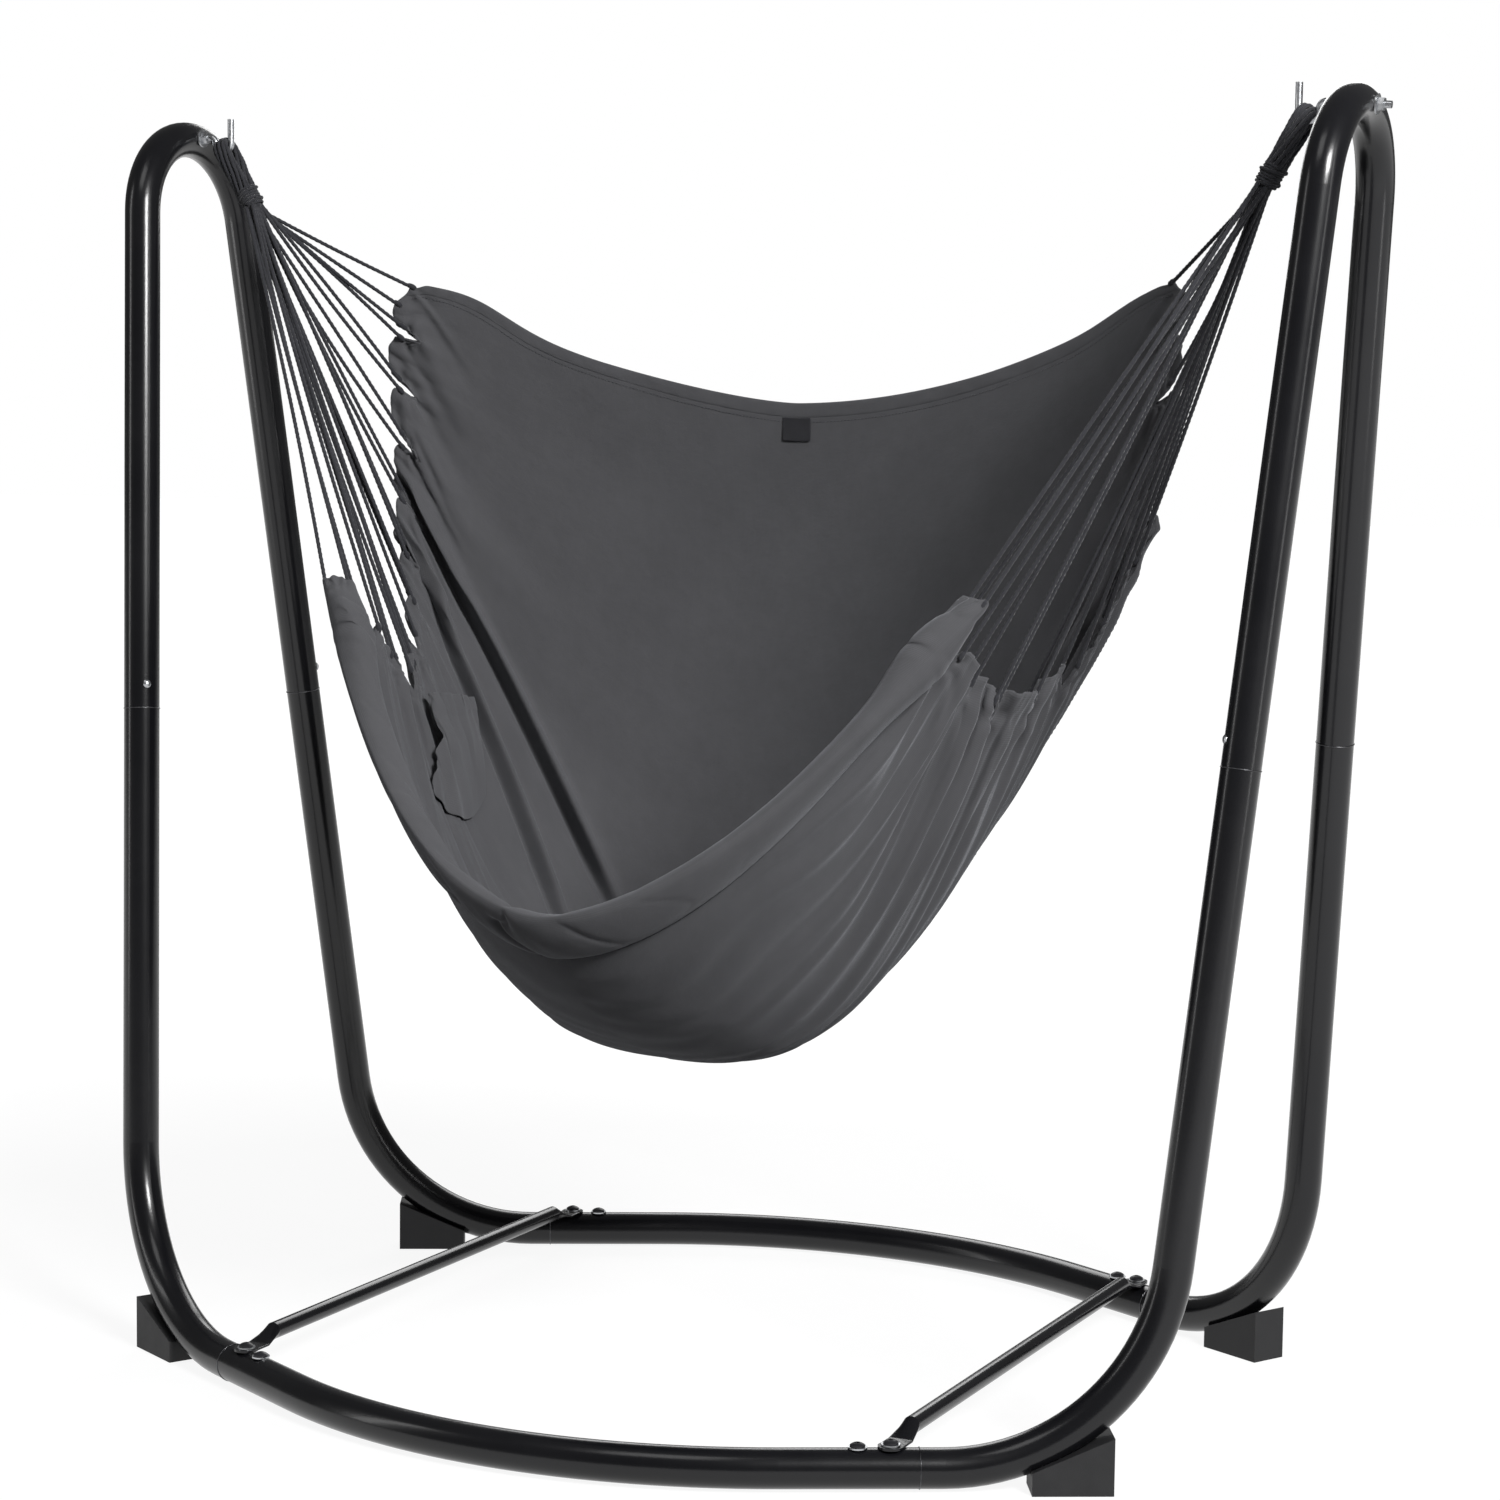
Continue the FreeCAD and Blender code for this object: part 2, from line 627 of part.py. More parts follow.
def make_base_fasteners():
    """Bolts, washers and the captive nuts inside the necked ends."""
    gap = size("seat_gap")
    nut_radius = size("nut_width") / math.sqrt(3)
    bore_radius = neck_bore / 2
    nut_top = base_height + math.sqrt(bore_radius**2 - nut_radius**2) - gap
    nut_low = nut_top - size("nut_height")
    bolts = []
    washers = []
    nuts = []
    for side_name, side in SIDES:
        for end_name, end in ENDS:
            for index, point in enumerate(bolt_points(side, end)):
                name = "%s%s%d" % (end_name.title(), side_name.title(), index)
                seat = base_height + tube_radius + gap
                if index == 0:
                    seat += size("bar_tab_thickness") + gap
                place = upright(Vector(point.x, point.y, seat))
                washers.append(washer("Washer" + name, "washer_diameter", "bolt_diameter", place))
                head_low = seat + size("washer_thickness") + gap
                shank_low = nut_low - gap
                shank = rod(
                    "BoltShank" + name,
                    "Sizes.bolt_diameter / 2",
                    size("bolt_diameter") / 2,
                    head_low - shank_low + size("bolt_head_height") * RIM_SHARE,
                    upright(Vector(point.x, point.y, shank_low)),
                )
                head = dome(
                    "BoltHead" + name,
                    size("bolt_head_diameter"),
                    size("bolt_head_height"),
                    upright(Vector(point.x, point.y, head_low)),
                )
                socket_low = head_low + size("bolt_head_height") - size("socket_depth")
                place = upright(Vector(point.x, point.y, socket_low))
                socket = hexagon("BoltSocket" + name, "socket_width", "socket_depth", place)
                blank = fuse("BoltBlank" + name, [shank, head])
                bolts.append(cut("Bolt" + name, blank, [socket]))
                place = upright(Vector(point.x, point.y, nut_low))
                nuts.append(nut("Nut" + name, "bolt_diameter", place))
    keep(group("BaseBolts", bolts), "base_bolts")
    keep(group("BaseWashers", washers), "base_washers")
    keep(group("BaseNuts", nuts), "base_nuts")


def make_leg_screws():
    """One small screw above each leg joint, through both walls."""
    screws = []
    for side_name, side in SIDES:
        for end_name, end in ENDS:
            name = end_name.title() + side_name.title()
            centre = screw_frame(side, end)
            outward = centre.Rotation.multVec(Vector(0, 0, 1))
            up = centre.Rotation.multVec(Vector(1, 0, 0))
            seat = centre.Base + outward * (tube_radius + size("seat_gap"))
            shank = rod(
                "ScrewShank" + name,
                "Sizes.screw_diameter / 2",
                size("screw_diameter") / 2,
                size("screw_length") + size("screw_head_height") * RIM_SHARE,
                frame_at(seat - outward * size("screw_length"), outward, up),
            )
            head = dome(
                "ScrewHead" + name,
                size("screw_head_diameter"),
                size("screw_head_height"),
                frame_at(seat, outward, up),
            )
            screws.append(fuse("Screw" + name, [shank, head]))
    keep(group("LegScrews", screws), "leg_joint_screws")


# ---------------------------------------------------------------- feet


def foot_screw_place(side, end):
    """Middle of a foot's underside, where its screw goes up into the tube's bend."""
    travel = size("foot_inset") + size("foot_screw_reach")
    point = base_corner(side, end) + base_direction(side, end) * travel
    return Vector(point.x, point.y, 0)


def make_foot(name, side, end):
    """Wedge under the bend, hollowed on top to the tube's shape."""
    length = size("foot_length")
    body = doc.addObject("PartDesign::Body", name.title().replace("_", "") + "Wedge")
    outline = add_sketch(body, name + "Outline", "XZ_Plane")
    corners = [
        Vector(0, 0, 0),
        Vector(length, 0, 0),
        Vector(length, size("foot_inner_height"), 0),
        Vector(0, size("foot_outer_height"), 0),
    ]
    for index in range(4):
        side_line = Part.LineSegment(corners[index], corners[(index + 1) % 4])
        outline.addGeometry(side_line, False)
    for index in range(4):
        joint = Sketcher.Constraint("Coincident", index, 2, (index + 1) % 4, 1)
        outline.addConstraint(joint)
    wedge = body.newObject("PartDesign::Pad", name + "Block")
    wedge.Profile = outline
    wedge.Midplane = True
    wedge.Length = size("foot_width")
    wedge.setExpression("Length", "Sizes.foot_width")
    along = base_direction(side, end)
    start = base_corner(side, end) + along * size("foot_inset")
    body.Placement = frame_at(Vector(start.x, start.y, 0), Vector(0, 0, 1), along)
    groove = doc.addObject("PartDesign::Body", name.title().replace("_", "") + "Groove")
    expression = "Sizes.tube_diameter + 2 * Sizes.seat_gap"
    rings = [(expression, size("tube_diameter") + 2 * size("seat_gap"))]
    moves = trimmed(leg_moves(side, end), size("neck_length"), size("neck_length"))
    add_pipe(groove, "AdditivePipe", name + "GroovePipe", moves, rings)
    groove.Placement = frame_at(leg_joint(side, end), -leg_direction(side, end), along)
    screw = rod(
        name + "ScrewHole",
        "Sizes.screw_diameter / 2 + Sizes.hole_clearance",
        size("screw_diameter") / 2 + size("hole_clearance"),
        size("foot_outer_height"),
        upright(foot_screw_place(side, end)),
    )
    pocket = rod(
        name + "ScrewPocket",
        "Sizes.screw_head_diameter / 2 + Sizes.hole_clearance",
        size("screw_head_diameter") / 2 + size("hole_clearance"),
        size("screw_head_height") + 2 * size("seat_gap"),
        upright(foot_screw_place(side, end)),
    )
    keep(cut(name, body, [groove, screw, pocket]), name)


# ---------------------------------------------------------------- hooks


def hook_moves():
    """Rod of a hook, from its outer thread end to its tip."""
    lean = math.degrees(math.atan2(lean_shift, apex_rise))
    straight = size("hook_tail") + size("tube_diameter") + size("hook_reach")
    return [
        ("run", straight),
        ("bend", size("hook_bend_radius"), 90 + lean),
        ("bend", size("hook_radius"), -180),
        ("run", size("hook_tip")),
    ]


def hook_frame(side):
    """Start of the hook's rod, with local X pointing down."""
    inward = hook_inward(side)
    start = arch_apex(side) - inward * (tube_radius + size("hook_tail"))
    return frame_at(start, inward, -lean_up(side))


def hook_centre(side):
    """Centre of the hook's round, where the rope lies."""
    point = hook_frame(side).multVec(path_end(hook_moves()[:2]))
    return point + Vector(-side * size("hook_radius"), 0, 0)


def pull(side):
    """Unit vector of the pull of the cords on a hook, inward and down."""
    angle = math.radians(size("pull_angle"))
    return Vector(-side * math.sin(angle), 0, -math.cos(angle))


def hang_point(side):
    """Point of the hook rod that carries the loop; the swing axis runs through both."""
    return hook_centre(side) + pull(side) * size("hook_radius")


def make_hook(name, side):
    body = doc.addObject("PartDesign::Body", name.title().replace("_", "") + "Rod")
    rings = [("Sizes.hook_diameter", size("hook_diameter"))]
    add_pipe(body, "AdditivePipe", name + "Pipe", hook_moves(), rings)
    body.Placement = hook_frame(side)
    keep(body, name)


def make_hook_fasteners():
    """A washer and a nut on each side of each arch."""
    washers = []
    nuts = []
    gap = size("seat_gap")
    for side_name, side in SIDES:
        for face_name, face in (("Outer", -1), ("Inner", 1)):
            out = hook_inward(side) * face
            seat = arch_apex(side) + out * (tube_radius + gap)
            name = side_name.title() + face_name
            place = frame_at(seat, out, Vector(0, 1, 0))
            plate = washer("HookWasher" + name, "hook_washer_diameter", "hook_diameter", place)
            washers.append(plate)
            seat = seat + out * (size("washer_thickness") + gap)
            place = frame_at(seat, out, Vector(0, 1, 0))
            nuts.append(nut("HookNut" + name, "hook_diameter", place))
    keep(group("HookWashers", washers), "hook_washers")
    keep(group("HookNuts", nuts), "hook_nuts")


# ---------------------------------------------------------------- hanging gear


def loop_legs():
    """Bend radius of the loop, and length and tilt of its two legs."""
    bend = (size("hook_diameter") + size("loop_rope_diameter")) / 2 + size("loop_clearance")
    return bend, *tangent_run(size("loop_end_gap") / 2, size("loop_length"), bend)


def make_loop(name, side):
    """Rope bundle that goes over the hook and ends in the whipping."""
    rope = size("loop_rope_diameter")
    radius, run, tilt = loop_legs()
    moves = [("run", run), ("bend", radius, 180 - 2 * math.degrees(tilt)), ("run", run)]
    body = doc.addObject("PartDesign::Body", name.title().replace("_", "") + "Rope")
    rings = [("Sizes.loop_rope_diameter", rope)]
    add_pipe(body, "AdditivePipe", name + "Pipe", moves, rings)
    start = hang_point(side) + pull(side) * size("loop_length")
    start = start + Vector(0, -size("loop_end_gap") / 2, 0)
    along = pull(side) * -math.cos(tilt) + Vector(0, math.sin(tilt), 0)
    body.Placement = frame_at(start, along, Vector(0, 1, 0))
    keep(body, name)


def whipping_start(side):
    """Upper end of the whipping's axis, just below the lowest rim of the loop's tilted ends."""
    dip = size("loop_rope_diameter") / 2 * abs(math.sin(loop_legs()[2]))
    return hang_point(side) + pull(side) * (size("loop_length") + dip + size("seat_gap"))


def make_whipping(name, side):
    """Turns of thin cord that bind the suspension cords together."""
    blank = rod(
        name + "Blank",
        "Sizes.whipping_diameter / 2",
        size("whipping_diameter") / 2,
        size("whipping_length"),
        frame_at(whipping_start(side), pull(side), Vector(0, 1, 0)),
    )
    blank.setExpression("Height", "Sizes.whipping_length")
    doc.recompute()
    rounded = doc.addObject("Part::Fillet", name)
    rounded.Base = blank
    rim = size("whipping_round")
    circles = [i + 1 for i, e in enumerate(blank.Shape.Edges) if len(e.Vertexes) == 1]
    rounded.Edges = [(index, rim, rim) for index in circles]
    keep(rounded, name)


def smooth(table, share):
    """Smooth curve through a table of (share, values...), by cubic spans."""
    last = len(table) - 1
    index = 0
    while index < last - 1 and share > table[index + 1][0]:
        index += 1

    def slope(i, axis):
        before = table[max(i - 1, 0)]
        after = table[min(i + 1, last)]
        return (after[axis] - before[axis]) / (after[0] - before[0])

    start, stop = table[index], table[index + 1]
    span = stop[0] - start[0]
    s = (share - start[0]) / span
    values = []
    for axis in range(1, len(start)):
        values.append(
            (2 * s**3 - 3 * s**2 + 1) * start[axis]
            + (s**3 - 2 * s**2 + s) * span * slope(index, axis)
            + (3 * s**2 - 2 * s**3) * stop[axis]
            + (s**3 - s**2) * span * slope(index + 1, axis)
        )
    return values


def cloth_point(across, share):
    """Middle surface of the seat cloth: across from -1 to 1, share from back to front."""
    edge = smooth(SIDE_EDGE, share)
    middle = smooth(MIDDLE_LINE, share)
    rise = smooth(RISE, share)[0]
    out = abs(across)
    return Vector(
        edge[0] * across,
        middle[1] + (edge[1] - middle[1]) * out**DEPTH_EXPONENT,
        middle[2] + (edge[2] - middle[2]) * out**rise,
    )


def cloth_normal(across, share):
    """Unit normal of the cloth, on the side where the sitter is."""
    low, high = max(across - CLOTH_STEP, -1), min(across + CLOTH_STEP, 1)
    back, front = max(share - CLOTH_STEP, 0), min(share + CLOTH_STEP, 1)
    side = cloth_point(high, share) - cloth_point(low, share)
    ahead = cloth_point(across, front) - cloth_point(across, back)
    return ahead.cross(side).normalize() * -1


def band(back, front):
    """Corners of a piece of cloth over the full width, between two shares."""
    return ((-1, back), (1, back), (1, front), (-1, front))


def blended(corners, x, y):
    """Place (across, share) inside four corners, x along the first side and y away from it."""
    first, second, third, fourth = corners
    return tuple(
        (first[i] * (1 - x) + second[i] * x) * (1 - y) + (fourth[i] * (1 - x) + third[i] * x) * y
        for i in range(2)
    )


def make_soft_patch(name, corners, stations, thickness, lift=0.0, crown=0.0):
    """Closed solid of a piece of cloth that follows the seat.

    thickness is its edge thickness, crown what a pad gains in its middle, and lift its
    distance from the seat cloth on the sitter's side.
    """
    columns, rows = stations
    faces = []
    grids = []
    for face_side in (-1, 1):
        grid = []
        for step in range(rows):
            ride = step / (rows - 1)
            swell = crown * math.sin(math.pi * ride) ** PAD_FULLNESS if crown else 0.0
            offset = lift + face_side * (thickness + swell) / 2
            line = []
            for station in range(columns):
                place = blended(corners, station / (columns - 1), ride)
                line.append(cloth_point(*place) + cloth_normal(*place) * offset)
            grid.append(line)
        surface = Part.BSplineSurface()
        surface.interpolate(grid)
        faces.append(surface.toShape())
        grids.append(surface)
    lower, upper = grids
    first_row, last_row, first_column, last_column = lower.bounds()
    for at in (first_row, last_row):
        faces.append(Part.makeRuledSurface(lower.uIso(at).toShape(), upper.uIso(at).toShape()))
    for at in (first_column, last_column):
        faces.append(Part.makeRuledSurface(lower.vIso(at).toShape(), upper.vIso(at).toShape()))
    shell = Part.makeShell(faces)
    shell.sewShape()
    solid = Part.Solid(shell)
    if solid.Volume < 0:
        solid.reverse()
    patch = doc.addObject("Part::Feature", name)
    patch.Shape = solid
    patch.Placement = Placement()
    keep(patch, name)


def make_cloth():
    """The seat with its hems, and the pocket and tag sewn on it."""
    cloth = size("cloth_thickness")
    slit = size("sewn_gap") / size("cloth_length")
    seat = band(BACK_HEM_SHARE + slit, FRONT_HEM_SHARE - slit)
    make_soft_patch("seat_fabric", seat, SEAT_STATIONS, cloth)
    back = band(0, BACK_HEM_SHARE)
    make_soft_patch("back_hem", back, BACK_HEM_STATIONS, size("back_hem_thickness"))
    front = band(FRONT_HEM_SHARE, 1)
    crown = size("front_hem_thickness") - cloth
    make_soft_patch("front_hem", front, FRONT_HEM_STATIONS, cloth, crown=crown)
    pocket = size("pocket_thickness")
    lift = (cloth + pocket) / 2 + size("sewn_gap")
    make_soft_patch("side_pocket", POCKET, POCKET_STATIONS, pocket, lift)
    tag = size("tag_thickness")
    lift = (cloth + tag) / 2 + size("sewn_gap")
    make_soft_patch("blank_tag", TAG, TAG_STATIONS, tag, lift)


def cord_start(side, index):
    """Where a cord leaves the whipping: three staggered rows, in the order of the fan."""
    axis = pull(side)
    across = Vector(0, 1, 0)
    outward = axis.cross(across)
    column = ((CORDS_PER_SIDE - 1) / 2 - index) * size("cord_step")
    row = (index % 3 - 1) * size("cord_row_pitch")
    centre = whipping_start(side) + axis * (size("whipping_length") + size("seat_gap"))
    place = centre + across * column + outward * row
    toward = (gathered_edge(side, index) - place).normalize()
    tilt = math.acos(toward.dot(axis))
    return place + toward * (size("cord_diameter") / 2 * math.tan(tilt))


def cord_share(index):
    """Share along the side edge where a cord holds the cloth."""
    share = index / (CORDS_PER_SIDE - 1)
    return min(max(share, BACK_HEM_SHARE / 2), (1 + FRONT_HEM_SHARE) / 2)


def gathered_edge(side, index):
    return cloth_point(side, cord_share(index))


def cord_stop(side, index, start):
    """End of a cord's axis, just off the gathered edge of the cloth."""
    share = cord_share(index)
    edge = gathered_edge(side, index)
    ahead = cloth_point(side, min(share + CLOTH_STEP, 1))
    tangent = ahead - cloth_point(side, max(share - CLOTH_STEP, 0))
    outward = edge - cloth_point(side * (1 - CLOTH_STEP), share)
    outward = (outward - tangent * (outward.dot(tangent) / tangent.dot(tangent))).normalize()
    toward = (start - edge).normalize()
    cosine = max(toward.dot(outward), LEAST_COSINE)
    sine = math.sqrt(1 - cosine * cosine)
    back_off = (size("cord_diameter") / 2 * sine + size("cord_gap")) / cosine
    return edge + toward * back_off


def make_cords():
    for side_name, side in SIDES:
        for index in range(CORDS_PER_SIDE):
            start = cord_start(side, index)
            stop = cord_stop(side, index, start)
            name = "cord_%s_%02d" % (side_name, index + 1)
            cord = rod(
                name,
                "Sizes.cord_diameter / 2",
                size("cord_diameter") / 2,
                (stop - start).Length,
                frame_at(start, (stop - start).normalize(), Vector(0, 1, 0)),
            )
            keep(cord, name)


def make_foot_screws():
    """Self-tapping screws from below, one in each foot."""
    screws = []
    for side_name, side in SIDES:
        for end_name, end in ENDS:
            name = end_name.title() + side_name.title()
            place = foot_screw_place(side, end) + Vector(0, 0, size("seat_gap") * 2)
            up = Vector(0, 0, 1)
            head_top = place + up * size("screw_head_height")
            shank = rod(
                "FootScrewShank" + name,
                "Sizes.screw_diameter / 2",
                size("screw_diameter") / 2,
                size("foot_screw_length"),
                frame_at(place + up * (size("screw_head_height") / 2), up, Vector(1, 0, 0)),
            )
            head = dome(
                "FootScrewHead" + name,
                size("screw_head_diameter"),
                size("screw_head_height"),
                frame_at(head_top, up * -1, Vector(1, 0, 0)),
            )
            screws.append(fuse("FootScrew" + name, [shank, head]))
    keep(group("FootScrews", screws), "foot_screws")


# ---------------------------------------------------------------- assembly


def build():
    for side_name, side in SIDES:
        make_arch("%s_arch_tube" % side_name, side)
        make_cross_bar("%s_cross_bar" % side_name, side)
        make_hook("%s_hook" % side_name, side)
        for end_name, end in ENDS:
            make_leg("%s_%s_leg_tube" % (end_name, side_name), side, end)
            make_foot("%s_%s_foot" % (end_name, side_name), side, end)
    for end_name, end in ENDS:
        make_base_tube("%s_base_tube" % end_name, end)
    make_base_fasteners()
    make_leg_screws()
    make_hook_fasteners()
    make_foot_screws()
    for side_name, side in SIDES:
        make_loop("%s_rope_loop" % side_name, side)
        make_whipping("%s_whipping" % side_name, side)
    make_cloth()
    make_cords()


def check_and_write():
    doc.recompute()
    for item in doc.Objects:
        if "Invalid" in item.State or "Error" in item.State:
            raise RuntimeError("failed object: %s, %s" % (item.Label, item.getStatusString()))
    for piece in NODES:
        if piece.Shape.isNull() or not piece.Shape.isValid():
            raise RuntimeError("bad shape: " + piece.Label)
    os.makedirs("parts", exist_ok=True)
    for piece in NODES:
        piece.Shape.exportStep("parts/%s.step" % piece.Label)
    axis = hang_point(1)
    print("sub-parts: %d" % len(NODES))
    print("swing axis: Y %.2f, Z %.2f" % (axis.y, axis.z))


build()
check_and_write()
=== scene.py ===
"""Hanging hammock chair on its tube stand: the looks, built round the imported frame, in metres."""
import json
import math
import random
from collections import namedtuple

import bpy
import numpy as np
from mathutils import Matrix, Vector, noise


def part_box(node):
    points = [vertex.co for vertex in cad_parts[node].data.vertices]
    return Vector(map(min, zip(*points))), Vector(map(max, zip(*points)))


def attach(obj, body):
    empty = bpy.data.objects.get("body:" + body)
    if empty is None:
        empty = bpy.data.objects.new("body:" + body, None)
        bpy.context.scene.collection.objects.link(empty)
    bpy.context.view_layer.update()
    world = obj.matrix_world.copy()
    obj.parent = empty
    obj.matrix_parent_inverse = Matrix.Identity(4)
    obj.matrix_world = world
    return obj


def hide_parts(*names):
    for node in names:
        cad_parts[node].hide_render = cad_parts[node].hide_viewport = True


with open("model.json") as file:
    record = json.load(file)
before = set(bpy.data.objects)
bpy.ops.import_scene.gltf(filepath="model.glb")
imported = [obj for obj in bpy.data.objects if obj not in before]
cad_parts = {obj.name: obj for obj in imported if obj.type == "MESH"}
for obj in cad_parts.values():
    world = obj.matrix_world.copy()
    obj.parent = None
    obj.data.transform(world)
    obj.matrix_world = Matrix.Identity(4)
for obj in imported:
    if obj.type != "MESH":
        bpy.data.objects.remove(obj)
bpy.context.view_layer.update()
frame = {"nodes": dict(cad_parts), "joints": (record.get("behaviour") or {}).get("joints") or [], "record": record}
scene = bpy.context.scene
NODES = frame["nodes"]
RECORD = frame["record"]
SIDES = (("left", -1), ("right", 1))


def side_name(side):
    return "left" if side < 0 else "right"


# ---------------------------------------------------------------- places taken from the frame

SWING_HEIGHT = frame["joints"][0]["pos_m"][2]
HOOK_X = next(m["pos_m"][0] for m in RECORD["mounts"] if m["name"] == "right_hook_seat")


def box_centre(node):
    low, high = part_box(node)
    return (low + high) / 2


def hang_point(side):
    return Vector((side * HOOK_X, 0, SWING_HEIGHT))


def pull(side):
    """Unit vector of the pull of the cords on a hook, inward and down."""
    return (box_centre(side_name(side) + "_whipping") - hang_point(side)).normalized()


# ---------------------------------------------------------------- the cloth's surface

# The two curves that carry the cloth: (share of the way from back hem to front hem, X, Y, Z).
SIDE_EDGE = np.array([
    (0.00, 0.495, 0.131, 1.248),
    (0.12, 0.500, 0.120, 1.165),
    (0.25, 0.492, 0.108, 1.060),
    (0.38, 0.478, 0.092, 0.955),
    (0.50, 0.448, 0.055, 0.872),
    (0.62, 0.410, 0.000, 0.806),
    (0.73, 0.376, -0.065, 0.788),
    (0.84, 0.358, -0.128, 0.814),
    (0.91, 0.364, -0.162, 0.846),
    (0.963, 0.377, -0.187, 0.894),
    (1.00, 0.410, -0.200, 0.902),
])
MIDDLE_LINE = np.array([
    (0.00, 0.0, 0.206, 1.120),
    (0.12, 0.0, 0.222, 0.972),
    (0.25, 0.0, 0.216, 0.804),
    (0.38, 0.0, 0.186, 0.646),
    (0.50, 0.0, 0.126, 0.510),
    (0.62, 0.0, 0.032, 0.411),
    (0.73, 0.0, -0.080, 0.376),
    (0.84, 0.0, -0.218, 0.416),
    (0.93, 0.0, -0.340, 0.491),
    (1.00, 0.0, -0.425, 0.577),
])
RISE = np.array([(0.0, 1.58), (0.30, 2.0), (0.55, 2.30), (0.75, 2.30), (0.88, 2.0), (1.0, 1.70)])
# The back's upper edge is fuller beside its two corners: (across, height, width) of each swell.
EDGE_SWELLS = ((-0.86, 0.022, 0.15), (0.90, 0.010, 0.10))
SWELL_END = 0.12             # share at which the swells have faded out
SWELL_RISE = 25              # how steeply a swell starts at the side edge
RIGHT_SKEW, LEFT_SKEW = 0.28, -0.12   # the back's rise is a little steeper on its right
SKEW_END = 0.3
DEPTH_EXPONENT = 1.8
CLOTH_HALF_WIDTH = 0.58      # from the middle line to the side edge, along the cloth
CLOTH_LENGTH = 1.29          # from back hem to front hem, along the middle line
CLOTH_THICKNESS = 0.0014
BACK_HEM_SHARE = 0.014
FRONT_HEM_SHARE = 0.963
CORDS_PER_SIDE = 13
FLAPS = CORDS_PER_SIDE - 1   # stretches of casing between the cords of one side
NOTCH = 0.10                 # half width of a notch, as a share of a flap


def smooth(table, share):
    """Smooth curve through a table of (share, values...), by cubic spans, at an array of shares."""
    knots = table[:, 0]
    values = table[:, 1:]
    slopes = np.empty_like(values)
    for i in range(len(knots)):
        before, after = max(i - 1, 0), min(i + 1, len(knots) - 1)
        slopes[i] = (values[after] - values[before]) / (knots[after] - knots[before])
    share = np.asarray(share, float)
    k = np.clip(np.searchsorted(knots, share, side="right") - 1, 0, len(knots) - 2)
    span = (knots[k + 1] - knots[k])[..., None]
    s = (share - knots[k])[..., None] / span
    return (
        (2 * s**3 - 3 * s**2 + 1) * values[k]
        + (s**3 - 2 * s**2 + s) * span * slopes[k]
        + (3 * s**2 - 2 * s**3) * values[k + 1]
        + (s**3 - s**2) * span * slopes[k + 1]
    )


def ramp(value, low, high):
    t = np.clip((value - low) / (high - low), 0, 1)
    return t * t * (3 - 2 * t)


def cloth_point(across, share):
    """Smooth middle surface of the cloth: across from -1 to 1, share from back to front."""
    edge = smooth(SIDE_EDGE, share)
    middle = smooth(MIDDLE_LINE, share)
    skew = np.where(across > 0, RIGHT_SKEW, LEFT_SKEW) * (1 - ramp(share, 0.0, SKEW_END))
    rise = smooth(RISE, share)[..., 0] + skew
    out = np.abs(across)
    swell = sum(h * np.exp(-(((across - at) / w) ** 2)) for at, h, w in EDGE_SWELLS)
    swell = swell * (1 - ramp(share, 0.0, SWELL_END)) * np.minimum(1, (1 - out) * SWELL_RISE)
    return np.stack([
        edge[..., 0] * across,
        middle[..., 1] + (edge[..., 1] - middle[..., 1]) * out**DEPTH_EXPONENT,
        middle[..., 2] + (edge[..., 2] - middle[..., 2]) * out**rise + swell,
    ], axis=-1)


def unit(vectors):
    length = np.linalg.norm(vectors, axis=-1, keepdims=True)
    return vectors / np.maximum(length, 1e-12)


def grid_normals(points):
    """Normals of a grid of points, rows from back to front, on the sitter's side."""
    along = np.gradient(points, axis=0)
    across = np.gradient(points, axis=1)
    return unit(np.cross(along, across))


def noise_grid(x, y, seed):
    """Smooth noise between about -1 and 1 at arrays of places."""
    flat = [noise.noise(Vector((a, b, seed))) for a, b in zip(x.ravel(), y.ravel())]
    return np.array(flat).reshape(x.shape)


def refined(values):
    """The same smooth grid or line with a new point between each two, along every direction."""
    values = np.asarray(values, float)
    for axis in range(2 if values.ndim == 3 else 1):
        lines = np.moveaxis(values, axis, 0)
        before = np.concatenate([2 * lines[:1] - lines[1:2], lines[:-2]])
        after = np.concatenate([lines[2:], 2 * lines[-1:] - lines[-2:-1]])
        between = (9 * (lines[:-1] + lines[1:]) - before - after) / 16
        finer = np.empty((2 * len(lines) - 1, *lines.shape[1:]))
        finer[::2] = lines
        finer[1::2] = between
        values = np.moveaxis(finer, 0, axis)
    return values


ROWS_PER_FLAP = 16
HALF_COLUMNS = 62
EDGE_CROWDING = 0.45         # how much closer the columns stand at the gathered edges
half = np.linspace(0, 1, HALF_COLUMNS + 1)
half = half * (1 + EDGE_CROWDING - EDGE_CROWDING * half)
COARSE_ACROSS = np.concatenate([-half[:0:-1], half])
COARSE_SHARES = np.linspace(0, 1, FLAPS * ROWS_PER_FLAP + 1)
ACROSS = refined(COARSE_ACROSS)
SHARES = refined(COARSE_SHARES)
ROWS = len(SHARES)


def crease(share, across, start, end, width, depth):
    """A fold: a valley with a ridge on its front side, along a line in the cloth."""
    a = np.array([start[0] * CLOTH_LENGTH, start[1] * CLOTH_HALF_WIDTH])
    b = np.array([end[0] * CLOTH_LENGTH, end[1] * CLOTH_HALF_WIDTH])
    line = b - a
    length = np.linalg.norm(line)
    line = line / length
    x = share * CLOTH_LENGTH - a[0]
    y = across * CLOTH_HALF_WIDTH - a[1]
    along = (x * line[0] + y * line[1]) / length
    aside = (-x * line[1] + y * line[0]) / width
    fade = ramp(along, -0.05, 0.10) * (1 - ramp(along, 0.85, 1.25))
    return depth * fade * (np.exp(-((aside + 1.0) ** 2)) - np.exp(-((aside - 0.4) ** 2)))


